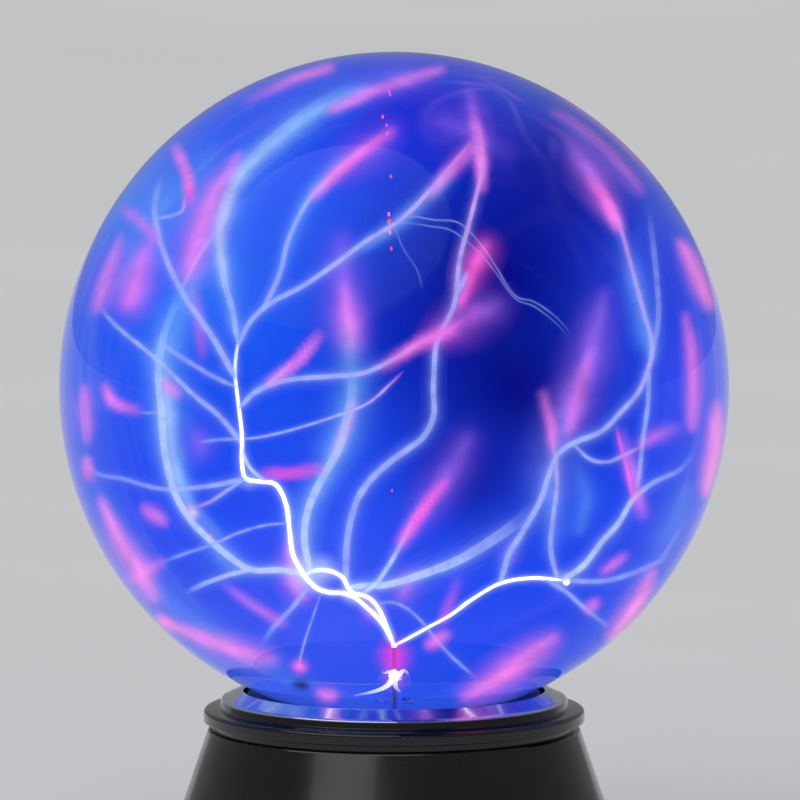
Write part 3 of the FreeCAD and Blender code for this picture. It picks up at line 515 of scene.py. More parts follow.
class Stream:
    """A stream of the discharge: points on the front view, and a depth that runs from its root to lean.
    The points are in hundredths of the globe's radius, and widths are radii in mm."""

    def __init__(self, points, lean, width, glow, tint, root=None, haze=0.6, power=1.0, dies=True):
        first, *rest = hundredths(points)
        u, v, from_lean = place_on_front(TIP if root is None else root.nearest(first))
        flat = smooth_path([(u, v)] + rest, PATH_STEP)
        run = np.concatenate([[0], np.cumsum(np.linalg.norm(np.diff(flat, axis=0), axis=1))])
        self.share = run / run[-1]
        eased = self.share * (2 - self.share)
        self.line = np.array(
            [seen_at(a, b, from_lean + (lean - from_lean) * e) for (a, b), e in zip(flat, eased)]
        )
        self.flat = flat
        self.width = width
        self.glow = pair(glow)
        self.tint = pair(tint)
        self.haze = haze
        self.power = pair(power)
        self.dies = dies

    def nearest(self, point):
        gaps = np.linalg.norm(self.flat - np.array(point), axis=1)
        return Vector(self.line[int(gaps.argmin())])


TUBE_SIDES = 12
FADE = 0.18  # share of a stream over which it dies away
FAINTEST = 0.04  # what is left of its density at its end
LATE = 4.0  # how late in a stream its end colour comes in
END_SHRINK = (0.35, 0.7, 0.9)  # width left to the first rings at both ends
ANY_SIDE = (0.3, 0.5, 0.8)  # a direction that no stream starts along
CAP = 0.5  # how far a tube's closed ends stand out, in its radius there
BLUED = 0.65  # share of azure in the outermost haze


def tube_mesh(line, radii):
    """A closed round tube: vertices, faces and the number of the line's point for each vertex."""
    count = len(line)
    along = np.gradient(line, axis=0)
    along /= np.linalg.norm(along, axis=1)[:, None]
    side = np.cross(along[0], ANY_SIDE)
    side /= np.linalg.norm(side)
    vertices = []
    for k in range(count):
        side = side - along[k] * side.dot(along[k])
        side /= np.linalg.norm(side)
        other = np.cross(along[k], side)
        for j in range(TUBE_SIDES):
            a = 2 * math.pi * j / TUBE_SIDES
            vertices.append(line[k] + radii[k] * (math.cos(a) * side + math.sin(a) * other))
    faces = []
    for k in range(count - 1):
        for j in range(TUBE_SIDES):
            n = (j + 1) % TUBE_SIDES
            a = k * TUBE_SIDES
            faces.append([a + j, a + n, a + TUBE_SIDES + n, a + TUBE_SIDES + j])
    first, last = len(vertices), len(vertices) + 1
    vertices += [line[0] - along[0] * radii[0] * CAP, line[-1] + along[-1] * radii[-1] * CAP]
    top = (count - 1) * TUBE_SIDES
    for j in range(TUBE_SIDES):
        n = (j + 1) % TUBE_SIDES
        faces.append([first, n, j])
        faces.append([last, top + j, top + n])
    where = np.concatenate([np.repeat(np.arange(count), TUBE_SIDES), [0, count - 1]])
    return vertices, faces, where


# radius, density and how far the colour goes towards blue, for each layer round a stream
LAYERS = {
    "stream_cores": (1.0, 0.95, 0.0),
    "stream_haze_1": (1.6, 0.36, 0.35),
    "stream_haze_2": (2.4, 0.22, 0.6),
    "stream_haze_3": (3.6, 0.13, 0.85),
    "stream_haze_4": (5.4, 0.07, 1.0),
}


def paint(made, colours, alphas):
    """Stores each vertex's colour, in linear light, and its density, for the glow finishes."""
    layer = made.data.attributes.new("glow", "FLOAT_COLOR", "POINT")
    rgba = np.concatenate([colours, alphas[:, None]], axis=1).astype(np.float32)
    layer.data.foreach_set("color", rgba.ravel())


def stream_layer(name, streams, finish):
    """One layer of all the streams: their cores, or one thickness of the haze round them."""
    grow, density, bluer = LAYERS[name]
    shapes, colours, alphas = [], [], []
    for s in streams:
        taper = np.interp(s.share, np.linspace(0, 1, len(s.width)), s.width) * MM
        for k, shrink in enumerate(END_SHRINK):
            taper[k] *= shrink
            taper[-1 - k] *= shrink
        vertices, faces, where = tube_mesh(s.line, taper * grow)
        shapes.append((vertices, faces))
        share = s.share[where]
        late = share[:, None] ** LATE
        tint = linear(s.tint[0]) * (1 - late) + linear(s.tint[1]) * late
        power = np.interp(share, (0, 1), s.power)[:, None]
        colours.append(power * (tint * (1 - BLUED * bluer) + linear(AZURE) * BLUED * bluer))
        spread = 1.0 if bluer == 0 else s.haze
        fade = np.clip((1 - share) / FADE, FAINTEST, 1) if s.dies else 1.0
        alphas.append(density * spread * fade * np.interp(share, (0, 1), s.glow))
    vertices, faces, _ = gather(shapes)
    made = piece(name, vertices, faces, finish, "plasma_stream")
    paint(made, np.concatenate(colours), np.concatenate(alphas))


trunk = Stream(
    [(0, -78), (-2.2, -73), (-5, -69), (-9.5, -64.7), (-12.5, -62.5), (-15.5, -61.5), (-19.1, -61.3),
     (-22.6, -60.2), (-25.6, -57.6), (-27.7, -54.5), (-30.1, -49.7), (-31, -43), (-32, -35), (-35, -29),
     (-40, -28), (-44, -27), (-45, -22), (-45, -14), (-46, -5), (-47, 5), (-46, 14)],
    -0.35, (0.4, 0.58, 0.6, 0.45), (1.0, 0.8), (WHITE, PALE), haze=0.14, power=(4.0, 1.0), dies=False)
loop = Stream(
    [(0, -78), (-1.4, -74), (-3.3, -69), (-5.2, -65.5), (-7.2, -63.4), (-9.8, -62.2), (-12.2, -61.8),
     (-13.8, -60), (-15.2, -57.2), (-17.8, -55.5), (-21.3, -54.7), (-25, -55.3), (-27, -57)],
    0.05, (0.35, 0.5, 0.7), (1.0, 0.7), (WHITE, PALE), haze=0.2, power=(3.5, 1.5), dies=False)
right_trunk = Stream(
    [(0, -78), (3.5, -75.7), (10, -72), (17, -68), (23, -63.5), (31.6, -58.5), (40.6, -56.9),
     (50, -57.5)],
    -0.15, (0.28, 0.38, 0.48), 1.0, WHITE, haze=0.12, power=(4.0, 2.5), dies=False)
outer_left = Stream(
    [(-26, -56), (-34, -55), (-43, -55), (-50, -51), (-56, -46), (-62, -40), (-67, -31), (-70, -19),
     (-71, -7), (-72, 5), (-70, 17), (-65, 29)],
    0.92, (0.8, 1.2), (0.55, 0.3), (PALE, SKY), loop)
middle_band = Stream(
    [(-26, -55), (-27, -46), (-26, -37), (-22, -28), (-17, -19), (-15, -12), (-13, -3), (-13, 8)],
    0.92, (0.9, 1.5), (0.5, 0.1), (PALE, SKY), loop)
tall = Stream(
    [(-14.6, -58.5), (-14.3, -49), (-13, -40), (-10, -32), (-4, -25), (4, -19), (9, -15), (12, -9),
     (12, 0), (12.8, 12.5), (15.2, 18), (18.6, 26), (20, 38.5), (22.8, 49.5), (25.5, 60), (27, 67),
     (26.8, 74), (25.5, 82)],
    0.93, (1.0, 0.5), 0.5, (LILAC, PINK), loop)
low_right = Stream(
    [(-13.5, -60), (-8.7, -59.7), (-3.2, -59.7), (2.8, -58.5), (11, -56), (21, -52), (31, -46), (38, -41),
     (44, -35)],
    0.8, (0.8, 1.9), (0.6, 0.03), (PALE, LILAC), loop)
rise = Stream(
    [(31, -58), (34, -50), (38, -43), (43, -34), (46, -25), (49, -19), (54, -16), (61, -13), (67, -7),
     (72, -1), (75, 7), (75.5, 13), (73, 22), (70, 33), (67, 44), (64, 53), (60, 60)],
    -0.8, (0.8, 0.5), 0.6, (LILAC, ROSE), right_trunk)
upper_left = Stream(
    [(-45.5, 13), (-47.5, 22), (-49.8, 31), (-51.2, 41), (-50.8, 49), (-46.8, 60), (-37, 71), (-22.5, 82),
     (-10, 88)],
    -0.9, (0.7, 1.7), (0.5, 0.25), (LILAC, SKY), trunk)
fork = Stream(
    [(-46, 12), (-43, 19), (-37, 25), (-28, 30), (-18, 37), (-9, 44), (2, 51), (11, 60), (17, 67),
     (22, 73), (25, 77)],
    0.93, (0.7, 0.5), (0.5, 0.6), (LILAC, ROSE), trunk)
left_rise = Stream(
    [(-47, 3), (-53, 14), (-61, 26), (-66, 36), (-69, 45), (-70, 53), (-68, 63)],
    -0.9, (0.85, 0.7), (0.6, 0.3), LILAC, trunk)
cross = Stream(
    [(-45.5, -6), (-40, -1), (-31, 2), (-19, 3), (-9, 4), (0, 8), (8, 13), (15, 16), (21, 20)],
    -0.93, (0.7, 0.6), (0.5, 0.6), (LILAC, ROSE), trunk)
right_rise = Stream(
    [(50, -57), (56, -53), (61, -46), (66, -40), (70, -33), (76, -28), (84, -24), (89, -17)],
    -0.85, (0.8, 0.6), (0.6, 0.15), (PALE, AZURE), right_trunk)

# the other streams: points, lean, width, glow, tint, root and, for the last three, haze
BRANCHES = (
    ([(-38.5, 23.5), (-34, 33), (-31.2, 43), (-26.2, 53), (-21, 59), (-12.6, 66.5), (-3, 74)],
     -0.85, (0.75, 0.35), (0.45, 0.7), (LILAC, ROSE), fork),
    ([(-67, 49), (-62, 51), (-61, 56)], -0.95, (0.5, 0.4), (0.25, 0.3), (LILAC, PINK), left_rise),
    ([(-62, 29), (-59, 38), (-54, 46)], 0.2, (0.5, 0.6), (0.3, 0.2), (LILAC, PALE), left_rise),
    ([(-45, -17), (-52, -9), (-61, -2), (-73, 9), (-84, 18), (-90, 25)],
     0.9, (0.7, 0.6), (0.5, 0.3), (LILAC, PALE), trunk),
    ([(-46.5, 0), (-53, 3), (-61, 8), (-70, 14)], -0.9, (0.6, 0.7), (0.35, 0.15), LILAC, trunk),
    ([(-45, -16), (-53, -16), (-60, -17)], 0.7, (0.4, 0.5), (0.3, 0.15), LILAC, trunk),
    ([(-60, -10), (-67, -8), (-78, -8)], 0.95, (0.4, 0.4), (0.2, 0.3), LILAC, outer_left),
    ([(-44, -27), (-53, -29), (-67, -30), (-79, -27), (-88, -25), (-93, -18)],
     -0.9, (0.65, 0.5), (0.5, 0.2), (LILAC, AZURE), trunk),
    ([(-44, -27), (-50, -31), (-56, -35), (-61, -37)],
     0.85, (0.5, 0.5), (0.45, 0.35), (LILAC, PINK), trunk),
    ([(-42, -3), (-38, 0), (-33, 4), (-29, 8)], -0.6, (0.6, 0.6), (0.45, 0.4), (LILAC, PINK), cross),
    ([(-45, -15), (-40, -15), (-31, -13), (-18, -9), (-8, -5), (-1, 1), (3, 5)],
     0.9, (0.35, 0.3), (0.4, 0.6), (LILAC, PINK), trunk),
    ([(-45, -18), (-43, -23), (-40, -26), (-36, -28.5)],
     -0.6, (0.45, 0.45), (0.6, 0.5), (PALE, LILAC), trunk),
    ([(-43, -55), (-50, -57), (-58, -60), (-64, -63)],
     0.85, (0.6, 0.7), (0.4, 0.2), (PALE, AZURE), outer_left),
    ([(-33, -41), (-39, -41), (-46, -43), (-53, -46), (-62, -49), (-70, -52)],
     -0.9, (0.3, 0.45), (0.35, 0.3), (LILAC, AZURE), trunk),
    ([(-25, -59), (-30, -65), (-35, -70), (-39, -76)],
     -0.85, (0.6, 0.7), (0.4, 0.25), (LILAC, AZURE), trunk),
    ([(-23, -68), (-26, -74), (-28, -82)], -0.9, (0.25, 0.3), (0.15, 0.4), (LILAC, PALE), trunk),
    ([(18, 27), (21, 32), (23, 36)], 0.95, (0.6, 0.8), 0.4, (LILAC, ROSE), tall),
    ([(-9.8, -62.2), (-5.7, -58.7), (-3, -55), (1, -48), (5, -40), (10, -31)],
     -0.85, (0.6, 0.6), (0.6, 0.12), (PALE, VIOLET), loop),
    ([(-6, -65), (-2, -64), (3, -65), (8, -69), (13, -75), (19, -81), (25, -86)],
     -0.8, (0.4, 0.45), (0.2, 0.3), LILAC, trunk),
    ([(49, -57), (47, -49), (48, -40), (49.5, -30), (49, -20), (47.5, -12)],
     0.85, (0.7, 0.6), (0.5, 0.4), (LILAC, ROSE), right_trunk),
    ([(75, 10), (78, 20), (78, 32), (77, 44), (76, 55)],
     -0.1, (0.7, 0.8), (0.3, 0.1), (LILAC, AZURE), rise),
    ([(53, -16.5), (57, -21), (62, -22), (67, -20), (73, -17)],
     -0.85, (0.5, 0.4), 0.4, (LILAC, PINK), rise),
    ([(74.5, 6), (74.5, -5), (73, -16), (72, -26), (70.5, -33)], -0.6, (0.6, 0.6), 0.35, LILAC, rise),
    ([(70, -33), (68, -24), (66, -17), (64.5, -11)], -0.9, (0.5, 0.5), (0.45, 0.2), ROSE, right_rise),
    ([(50, -58), (61, -58.5), (70, -57), (79, -53), (85, -47), (90, -37)],
     0.9, (0.6, 0.9), (0.4, 0.2), (LILAC, AZURE), right_trunk),
    ([(44, -57), (50, -60), (56, -65), (61, -69), (66, -73)],
     -0.9, (0.6, 0.6), (0.4, 0.3), (LILAC, AZURE), right_trunk),
    ([(2, 51), (6, 52), (12, 51), (20, 50), (27, 43), (31, 37), (37, 28), (43, 26), (50, 21), (55, 15)],
     0.9, (0.22, 0.22), (0.2, 0.16), LILAC, fork, 0.3),
    ([(0, 49), (4, 50), (11, 49), (18, 47.5), (26, 41), (31, 35), (37, 27), (43, 24.5), (50, 19),
      (54, 14)],
     0.85, (0.2, 0.2), (0.16, 0.12), LILAC, fork, 0.3),
    ([(0, 49), (3, 42), (7, 36), (9, 29)], 0.95, (0.2, 0.2), (0.14, 0.08), LILAC, fork, 0.3),
)

streams = [
    trunk, loop, right_trunk, outer_left, middle_band, tall, low_right, rise, upper_left, fork, left_rise,
    cross, right_rise,
]
streams += [Stream(*row) for row in BRANCHES]


def streams_in_layers():
    finish = glow_finish("plasma_stream", one_sided=False, flicker=0.18, grain=5 * MM)
    for name in LAYERS:
        stream_layer(name, streams, finish)


# ---- glow on the inside of the globe

WALL_RINGS = 100
FILM_RINGS = 220  # the film carries fine strokes, so its mesh is finer
BODY_BLUE = (0.08, 0.27, 0.94)
RIM_LIGHT = 0.18  # share of azure painted at the globe's outline in the front view: painted limb brightening, where the eye looks through the most lit gas
RIM_FROM = 0.86  # where it starts to come in, in globe radii
RIM_BAND = 0.11
REGION_FALL = 1.2  # how fast a region gives way outwards
# centre in globe radii, size, strength and colour of the broad regions of the field
REGIONS = (
    ((-0.55, 0.35), 0.5, 0.6, (0.13, 0.41, 0.98)),
    ((-0.2, -0.75), 0.45, 0.55, (0.28, 0.38, 0.97)),
    ((0.1, 0.95), 0.32, 0.9, (0.03, 0.06, 0.84)),
    ((0.05, 0.15), 0.28, 0.75, (0.06, 0.12, 0.74)),
    ((0.34, 0.36), 0.36, 0.97, (0.01, 0.02, 0.5)),
    ((0.38, 0.0), 0.3, 0.97, (0.01, 0.02, 0.5)),
    ((0.24, -0.26), 0.2, 0.85, (0.03, 0.07, 0.62)),
    ((0.5, 0.66), 0.34, 0.94, (0.01, 0.02, 0.58)),
    ((0.8, 0.35), 0.18, 0.6, (0.11, 0.19, 0.86)),
    ((-0.8, 0.58), 0.2, 0.6, (0.32, 0.58, 1.0)),
    ((0.93, 0.05), 0.16, 0.4, (0.27, 0.3, 0.95)),
)


def glow_ball(name, radius, rings, finish, inward):
    outline = arc((0, CENTRE.z), radius, 0, 180, rings)
    return piece(name, *lathe(outline, 2 * rings, inward), finish, "gas_glow")


def on_front(made):
    """Every vertex as (u, v, depth) on the front view, in globe radii."""
    co = np.empty(len(made.data.vertices) * 3)
    made.data.vertices.foreach_get("co", co)
    d = (co.reshape(-1, 3) - np.array(CENTRE)) / GLOBE_R
    return np.stack([d @ np.array(axis) for axis in (RIGHT, UPWARD, AWAY)], axis=1)


def glow_wall():
    """The field behind everything. It shows only from inside, so that its near half hides nothing."""
    finish = glow_finish("gas_glow_wall", one_sided=True, flicker=0.05, grain=40 * MM)
    made = glow_ball("gas_glow_wall", GLOBE_R - WALL_DEPTH, WALL_RINGS, finish, inward=True)
    at = on_front(made)
    colour = np.tile(linear(BODY_BLUE), (len(at), 1))
    for (u, v), size, strength, tone in REGIONS:
        near = np.hypot(at[:, 0] - u, at[:, 1] - v) / size
        share = (strength * np.exp(-(near**2) * REGION_FALL))[:, None]
        colour = colour * (1 - share) + linear(tone) * share
    # painted limb brightening: azure painted towards the outline that the front view sees
    rim = np.clip((np.hypot(at[:, 0], at[:, 1]) - RIM_FROM) / RIM_BAND, 0, 1)[:, None] ** 2
    colour = colour * (1 - RIM_LIGHT * rim) + linear(AZURE) * RIM_LIGHT * rim
    paint(made, colour, np.ones(len(at)))


# strokes of soft light on the glass: points in hundredths of the globe's radius, side (-1 near, 1 far),
# spread in globe radii, strength and tint, with a pair where the two ends differ
STROKES = (
    ([(-47, 16), (-50, 30), (-52, 42), (-51, 50), (-47, 60), (-37.5, 71), (-22, 82), (-9, 88.5), (4, 94)],
     -1, (0.045, 0.055), (0.45, 0.4), (SKY, AZURE)),
    ([(-50, 30), (-51.5, 42), (-50.8, 49), (-46.8, 60), (-37, 71), (-22, 82), (-8, 89)],
     -1, (0.016, 0.022), (0.62, 0.5), (PALE, SKY)),
    ([(-19, 82), (-4, 88.5), (14, 94.5)], -1, (0.01, 0.011), (0.75, 0.65), PINK),
    ([(-14, 85), (0, 90), (12, 93)], -1, 0.035, 0.35, VIOLET),
    ([(-46, 69), (-53, 57), (-57.5, 46), (-61, 33)], -1, (0.022, 0.048), (0.55, 0.8), PINK),
    ([(-36, 28), (-31, 42), (-25, 56), (-15, 68)], -1, (0.02, 0.03), (0.2, 0.4), (AZURE, SKY)),
    ([(-24, 56), (-13, 66.5), (-1, 75.5)], -1, (0.005, 0.01), (0.62, 0.85), (PINK, ROSE)),
    ([(-20, 61), (-10, 69), (0, 76)], -1, (0.025, 0.045), (0.35, 0.5), (ROSE, VIOLET)),
    ([(-15, 40), (0, 50), (10, 59), (18, 66)], 1, (0.015, 0.028), (0.3, 0.45), SKY),
    ([(11, 60), (18, 68), (27, 77)], 1, (0.011, 0.022), (0.62, 0.8), PINK),
    ([(27.5, 62), (26.8, 75), (23.5, 92)], 1, (0.01, 0.03), (0.95, 0.55), (PINK, VIOLET)),
    ([(27.2, 66), (26.5, 76), (25, 84)], 1, 0.007, (0.8, 0.7), PINK),
    ([(12, 84), (22, 80), (36, 73)], 1, (0.06, 0.05), (0.3, 0.2), VIOLET),
    ([(-81, 53), (-76, 49.5), (-70.5, 44)], -1, (0.016, 0.009), (0.62, 0.66), (VIOLET, PINK)),
    ([(-70.5, 47), (-74.5, 38), (-79, 24)], -1, (0.02, 0.05), (0.55, 0.95), (VIOLET, PINK)),
    ([(-85, 47), (-89, 36), (-93, 24)], 1, (0.018, 0.03), (0.65, 0.9), PINK),
    ([(-60.5, 55), (-61.5, 63), (-65, 71)], -1, (0.005, 0.009), (0.8, 0.62), (ROSE, PINK)),
    ([(-63, 30), (-61, 20), (-60, 10)], 1, (0.008, 0.01), (0.32, 0.41), ROSE),
    ([(-44, 85), (-31, 91), (-19, 95)], -1, (0.01, 0.011), (0.55, 0.7), (VIOLET, PINK)),
    ([(-86, 30), (-80, 45), (-70, 60), (-55, 74)], 1, (0.05, 0.06), (0.35, 0.4), (AZURE, SKY)),
    ([(-66, -33), (-70, -19), (-71, -5), (-72, 8), (-69, 20), (-64, 30), (-60, 37)],
     1, (0.042, 0.058), (0.62, 0.48), SKY),
    ([(-55, -46), (-64, -36), (-69, -24), (-71, -8), (-71.5, 6)],
     1, (0.018, 0.022), (0.45, 0.65), (SKY, PALE)),
    ([(-56, -44), (-54, -52), (-50, -58)], 1, 0.04, (0.4, 0.3), (AZURE, SKY)),
    ([(-64.5, -38.5), (-62.5, -40)], 1, (0.012, 0.011), (0.87, 0.83), (PINK, WHITE)),
    ([(-74, -36), (-68, -40)], -1, (0.018, 0.016), (0.69, 0.6), PINK),
    ([(-90.5, 0), (-87.5, -5), (-80, -7.5)], 1, (0.016, 0.011), (0.87, 0.64), PINK),
    ([(-68, 1), (-64, -2)], -1, (0.011, 0.01), (0.69, 0.55), PINK),
    ([(-62, -15), (-60, -21)], 1, (0.035, 0.03), (0.45, 0.5), VIOLET),
    ([(-96.5, 0), (-96.5, -8), (-95.5, -17)], 1, 0.018, (0.78, 0.69), PINK),
    ([(-91.5, -22), (-91, -27)], -1, 0.009, (0.64, 0.55), (PINK, ROSE)),
    ([(-87, -34), (-81, -47), (-76, -54), (-71.5, -63)], -1, (0.018, 0.034), (0.75, 0.85), PINK),
    ([(-78, -57), (-69, -52)], -1, (0.02, 0.012), (0.64, 0.46), PINK),
    ([(-70, -69), (-66, -71.5)], -1, (0.011, 0.01), (0.83, 0.64), (PINK, ROSE)),
    ([(-67, -70.5), (-52, -76.5), (-36, -81)], -1, (0.012, 0.032), 0.8, PINK),
    ([(-50, -59), (-42, -64.5), (-33, -70)], -1, (0.01, 0.012), (0.5, 0.6), (VIOLET, PINK)),
    ([(-32.5, -46), (-32.5, -56), (-28.5, -66)], 1, (0.02, 0.038), (0.55, 0.85), (VIOLET, PINK)),
    ([(-28.5, -83), (-27.5, -83)], -1, 0.014, (0.87, 0.83), (PINK, ROSE)),
    ([(-22, -91), (-18, -92)], -1, 0.016, (0.78, 0.74), PINK),
    ([(-29, -88.3), (-26, -88.8)], -1, 0.012, (0.9, 0.8), DUSK),
    ([(-8, -71), (-6, -69)], 1, 0.024, (0.51, 0.41), (VIOLET, PINK)),
    ([(-16.8, 47), (-16, 30), (-13.5, 10)], 1, 0.045, (0.5, 0.8), VIOLET),
    ([(-15.5, 31), (-14.5, 22), (-13.5, 13)], 1, (0.022, 0.034), (0.45, 0.95), PINK),
    ([(-15, 18), (-14, 10), (-13, 0), (-15, -12), (-20, -24), (-25, -36)], 1, (0.044, 0.046), 0.55, SKY),
    ([(-13, -5), (-15, -13), (-19, -22)], 1, 0.011, (0.6, 0.37), PINK),
    ([(-27, -32), (-28, -44), (-27, -54)], 1, (0.045, 0.04), (0.35, 0.4), SKY),
    ([(-38, -25.5), (-30, -25.5), (-22, -24)], -1, (0.01, 0.008), (0.83, 0.64), ROSE),
    ([(-37, 1), (-29, 7), (-22, 15)], -1, (0.007, 0.016), (0.62, 0.8), PINK),
    ([(-3, 6), (8, 13), (17, 17)], -1, (0.008, 0.012), (0.6, 0.95), (ROSE, PINK)),
    ([(7, 12), (17, 17.5), (31, 25)], -1, (0.022, 0.05), (0.7, 0.62), (ROSE, VIOLET)),
    ([(20.5, 25), (24, 35), (29, 45)], 1, (0.014, 0.042), (1.0, 0.85), ROSE),
    ([(0, -49), (9, -36), (15, -27), (22, -15)], -1, (0.018, 0.05), (0.45, 0.55), VIOLET),
    ([(2, -46), (9, -35.5), (15, -28)], -1, (0.008, 0.013), (0.75, 0.85), ROSE),
    ([(10, -76.5), (15.5, -73)], -1, (0.016, 0.014), (0.88, 0.7), PINK),
    ([(19, -57), (14.5, -69)], -1, (0.004, 0.005), (0.35, 0.5), (VIOLET, ROSE)),
    ([(2, -66), (6, -58)], 1, 0.028, (0.46, 0.32), (PINK, VIOLET)),
    ([(21, -92.5), (34, -84.5), (48, -74)], -1, (0.032, 0.034), (0.92, 0.9), PINK),
    ([(66, 30), (62, 12), (58, -2), (54, -17)], 1, (0.04, 0.05), (0.5, 0.72), VIOLET),
    ([(61, 10), (57.5, -2), (54.5, -14)], 1, (0.018, 0.024), (0.4, 0.75), PINK),
    ([(55, 0), (51, -16), (49, -32), (50, -48)], 1, (0.045, 0.055), (0.5, 0.35), (VIOLET, SKY)),
    ([(46.5, -2), (49, -11), (50, -20)], 1, (0.013, 0.011), (0.46, 0.83), PINK),
    ([(56, -20), (60, -34), (58, -46)], 1, 0.03, (0.3, 0.35), (AZURE, SKY)),
    ([(36, -54), (37, -49)], 1, 0.02, 0.45, VIOLET),
    ([(52, 72), (60, 60), (66.5, 47)], -1, (0.038, 0.022), (0.6, 0.75), (VIOLET, PINK)),
    ([(59, 60), (63, 54.5), (66.5, 47)], -1, (0.006, 0.007), (0.7, 0.85), (ROSE, PINK)),
    ([(66, 48), (70, 34), (73.5, 20), (76, 8)], -1, 0.03, (0.35, 0.4), (AZURE, SKY)),
    ([(76, 50), (77.5, 30), (76.5, 12)], 1, 0.03, (0.2, 0.35), AZURE),
    ([(50, 86), (61, 79), (70, 70), (77, 61)], 1, (0.009, 0.01), (0.7, 0.75), PINK),
    ([(52, 84), (65, 73), (75, 61)], 1, 0.028, 0.4, VIOLET),
    ([(85, 43), (89.5, 35), (94, 24)], -1, (0.018, 0.025), (0.8, 0.95), PINK),
    ([(91, 22), (93.5, 6), (93, -13)], 1, (0.014, 0.022), (0.8, 0.85), PINK),
    ([(96, -5), (95.5, -17), (93, -32)], -1, (0.02, 0.024), (0.8, 0.85), PINK),
    ([(73, -17), (79, -14), (85, -12)], -1, (0.014, 0.021), (0.6, 0.41), (PINK, VIOLET)),
    ([(67, -13), (70, -24), (72.5, -33)], -1, (0.018, 0.014), (0.37, 0.69), (VIOLET, PINK)),
    ([(72, -33), (74, -39)], -1, (0.013, 0.021), (0.6, 0.32), (PINK, VIOLET)),
    ([(77, -55), (72, -65), (65, -75.5)], -1, (0.02, 0.026), (0.8, 0.9), PINK),
    ([(65, -58), (72, -53)], 1, (0.011, 0.013), 0.6, PINK),
    ([(57.5, -66), (60, -64)], -1, 0.01, (0.64, 0.55), PINK),
    ([(80, -50), (87, -42), (92, -30)], 1, 0.035, 0.4, (AZURE, SKY)),
    ([(-92, -28), (-86, -45), (-72, -66), (-50, -83), (-25, -94)],
     1, (0.04, 0.045), (0.35, 0.4), (AZURE, SKY)),
)

ENDS = 0.3  # strength at a stroke's ends, as a share of its middle's
TAPER = 0.4  # spread at a stroke's ends, as a share of its middle's
FINEST = 0.011  # smallest spread that the film's mesh can carry
CORE = 0.45  # share of a stroke's strength in its narrow core
CORE_PINCH = 2.2  # how much narrower the core is
STROKE_STEP = 0.35  # spacing of the points a stroke is painted from, in its smallest spread
STROKE_EDGE = 2.8  # how far a stroke's light is followed, in spreads
LIMB = 0.25  # depth over which one side's strokes give way to the other's at the limb


def glow_film():
    """Soft strokes of light where the streams spread on the glass, on both sides of the globe."""
    finish = glow_finish("gas_glow_film", one_sided=False, flicker=0.15, grain=12 * MM)
    reach = (GLOBE_R - FILM_DEPTH) / GLOBE_R
    made = glow_ball("gas_glow_film", reach * GLOBE_R, FILM_RINGS, finish, inward=False)
    at = on_front(made) / reach
    trees = {}
    for side in (-1, 1):
        mine = np.flatnonzero(at[:, 2] * side > -LIMB)
        trees[side] = KDTree(len(mine))
        for i in mine:
            trees[side].insert((*at[i, :2], 0), int(i))
        trees[side].balance()
    light = np.zeros((len(at), 3))
    cover = np.zeros(len(at))
    for points, side, *values in STROKES:
        spread, strength, tint = (pair(v) for v in values)
        flat = smooth_path(hundredths(points), min(spread) * STROKE_STEP)
        best = {}
        for (u, v), t in zip(flat, np.linspace(0, 1, len(flat))):
            belly = math.sqrt(abs(math.sin(math.pi * t)))
            sigma = max(FINEST, np.interp(t, (0, 1), spread) * (TAPER + (1 - TAPER) * belly))
            pinched = max(FINEST, sigma / CORE_PINCH)
            peak = np.interp(t, (0, 1), strength) * (ENDS + (1 - ENDS) * belly)
            for _, i, gap in trees[side].find_range((u, v, 0), STROKE_EDGE * sigma):
                haze = (1 - CORE) * math.exp(-0.5 * (gap / sigma) ** 2)
                value = peak * (haze + CORE * math.exp(-0.5 * (gap / pinched) ** 2))
                if value > best.get(i, (0, 0))[0]:
                    best[i] = (value, t)
        index = np.fromiter(best.keys(), int)
        value, t = np.array(list(best.values())).T
        near = np.clip(0.5 + at[index, 2] * side / (2 * LIMB), 0, 1)
        value = value * near * near * (3 - 2 * near)
        t = t[:, None]
        colour = linear(tint[0]) * (1 - t) + linear(tint[1]) * t
        total = cover[index] + value * (1 - cover[index])
        mixed = light[index] * (cover[index] * (1 - value))[:, None] + colour * value[:, None]
        light[index] = mixed / np.maximum(total, LEAST)[:, None]
        cover[index] = total
    paint(made, light, cover)


# ---- glow round the electrode

TIP_SHELLS = 14
TIP_GLOW_R = 7.5 * MM
TIP_DROP = 3.4 * MM
TIP_ROUND = 0.75  # the outer shells' height as a share of their width
TIP_STRETCH = 0.6  # how much taller the inner shells are, so that they reach the tip
TIP_DENSITY = 0.09
TIP_FALL = 1.5
TIP_EDGE = 0.003
TIP_POWER = 1.3
KNOT_SHELLS = 8
KNOT_EDGE = 0.15  # density of the outermost shell, as a share of strength


def tip_glow():
    """Magenta light round the electrode's tip, in shells that thin out outwards."""
    finish = glow_finish("plasma_tip", one_sided=False, flicker=0.1, grain=4 * MM)
    centre = TIP - Vector((0, 0, TIP_DROP))
    shells, density = [], []
    for k in range(TIP_SHELLS):
        share = (k + 1) / TIP_SHELLS
        radius = TIP_GLOW_R * share
        shells.append(ball(centre, radius, TIP_ROUND + TIP_STRETCH * TIP_DROP / radius))
        density.append(TIP_DENSITY * (1 - share) ** TIP_FALL + TIP_EDGE)
    vertices, faces, counts = gather(shells)
    made = piece("electrode_glow", vertices, faces, finish, "plasma_tip")
    paint(made, np.tile(TIP_POWER * linear(MAGENTA), (len(vertices), 1)), np.repeat(density, counts))


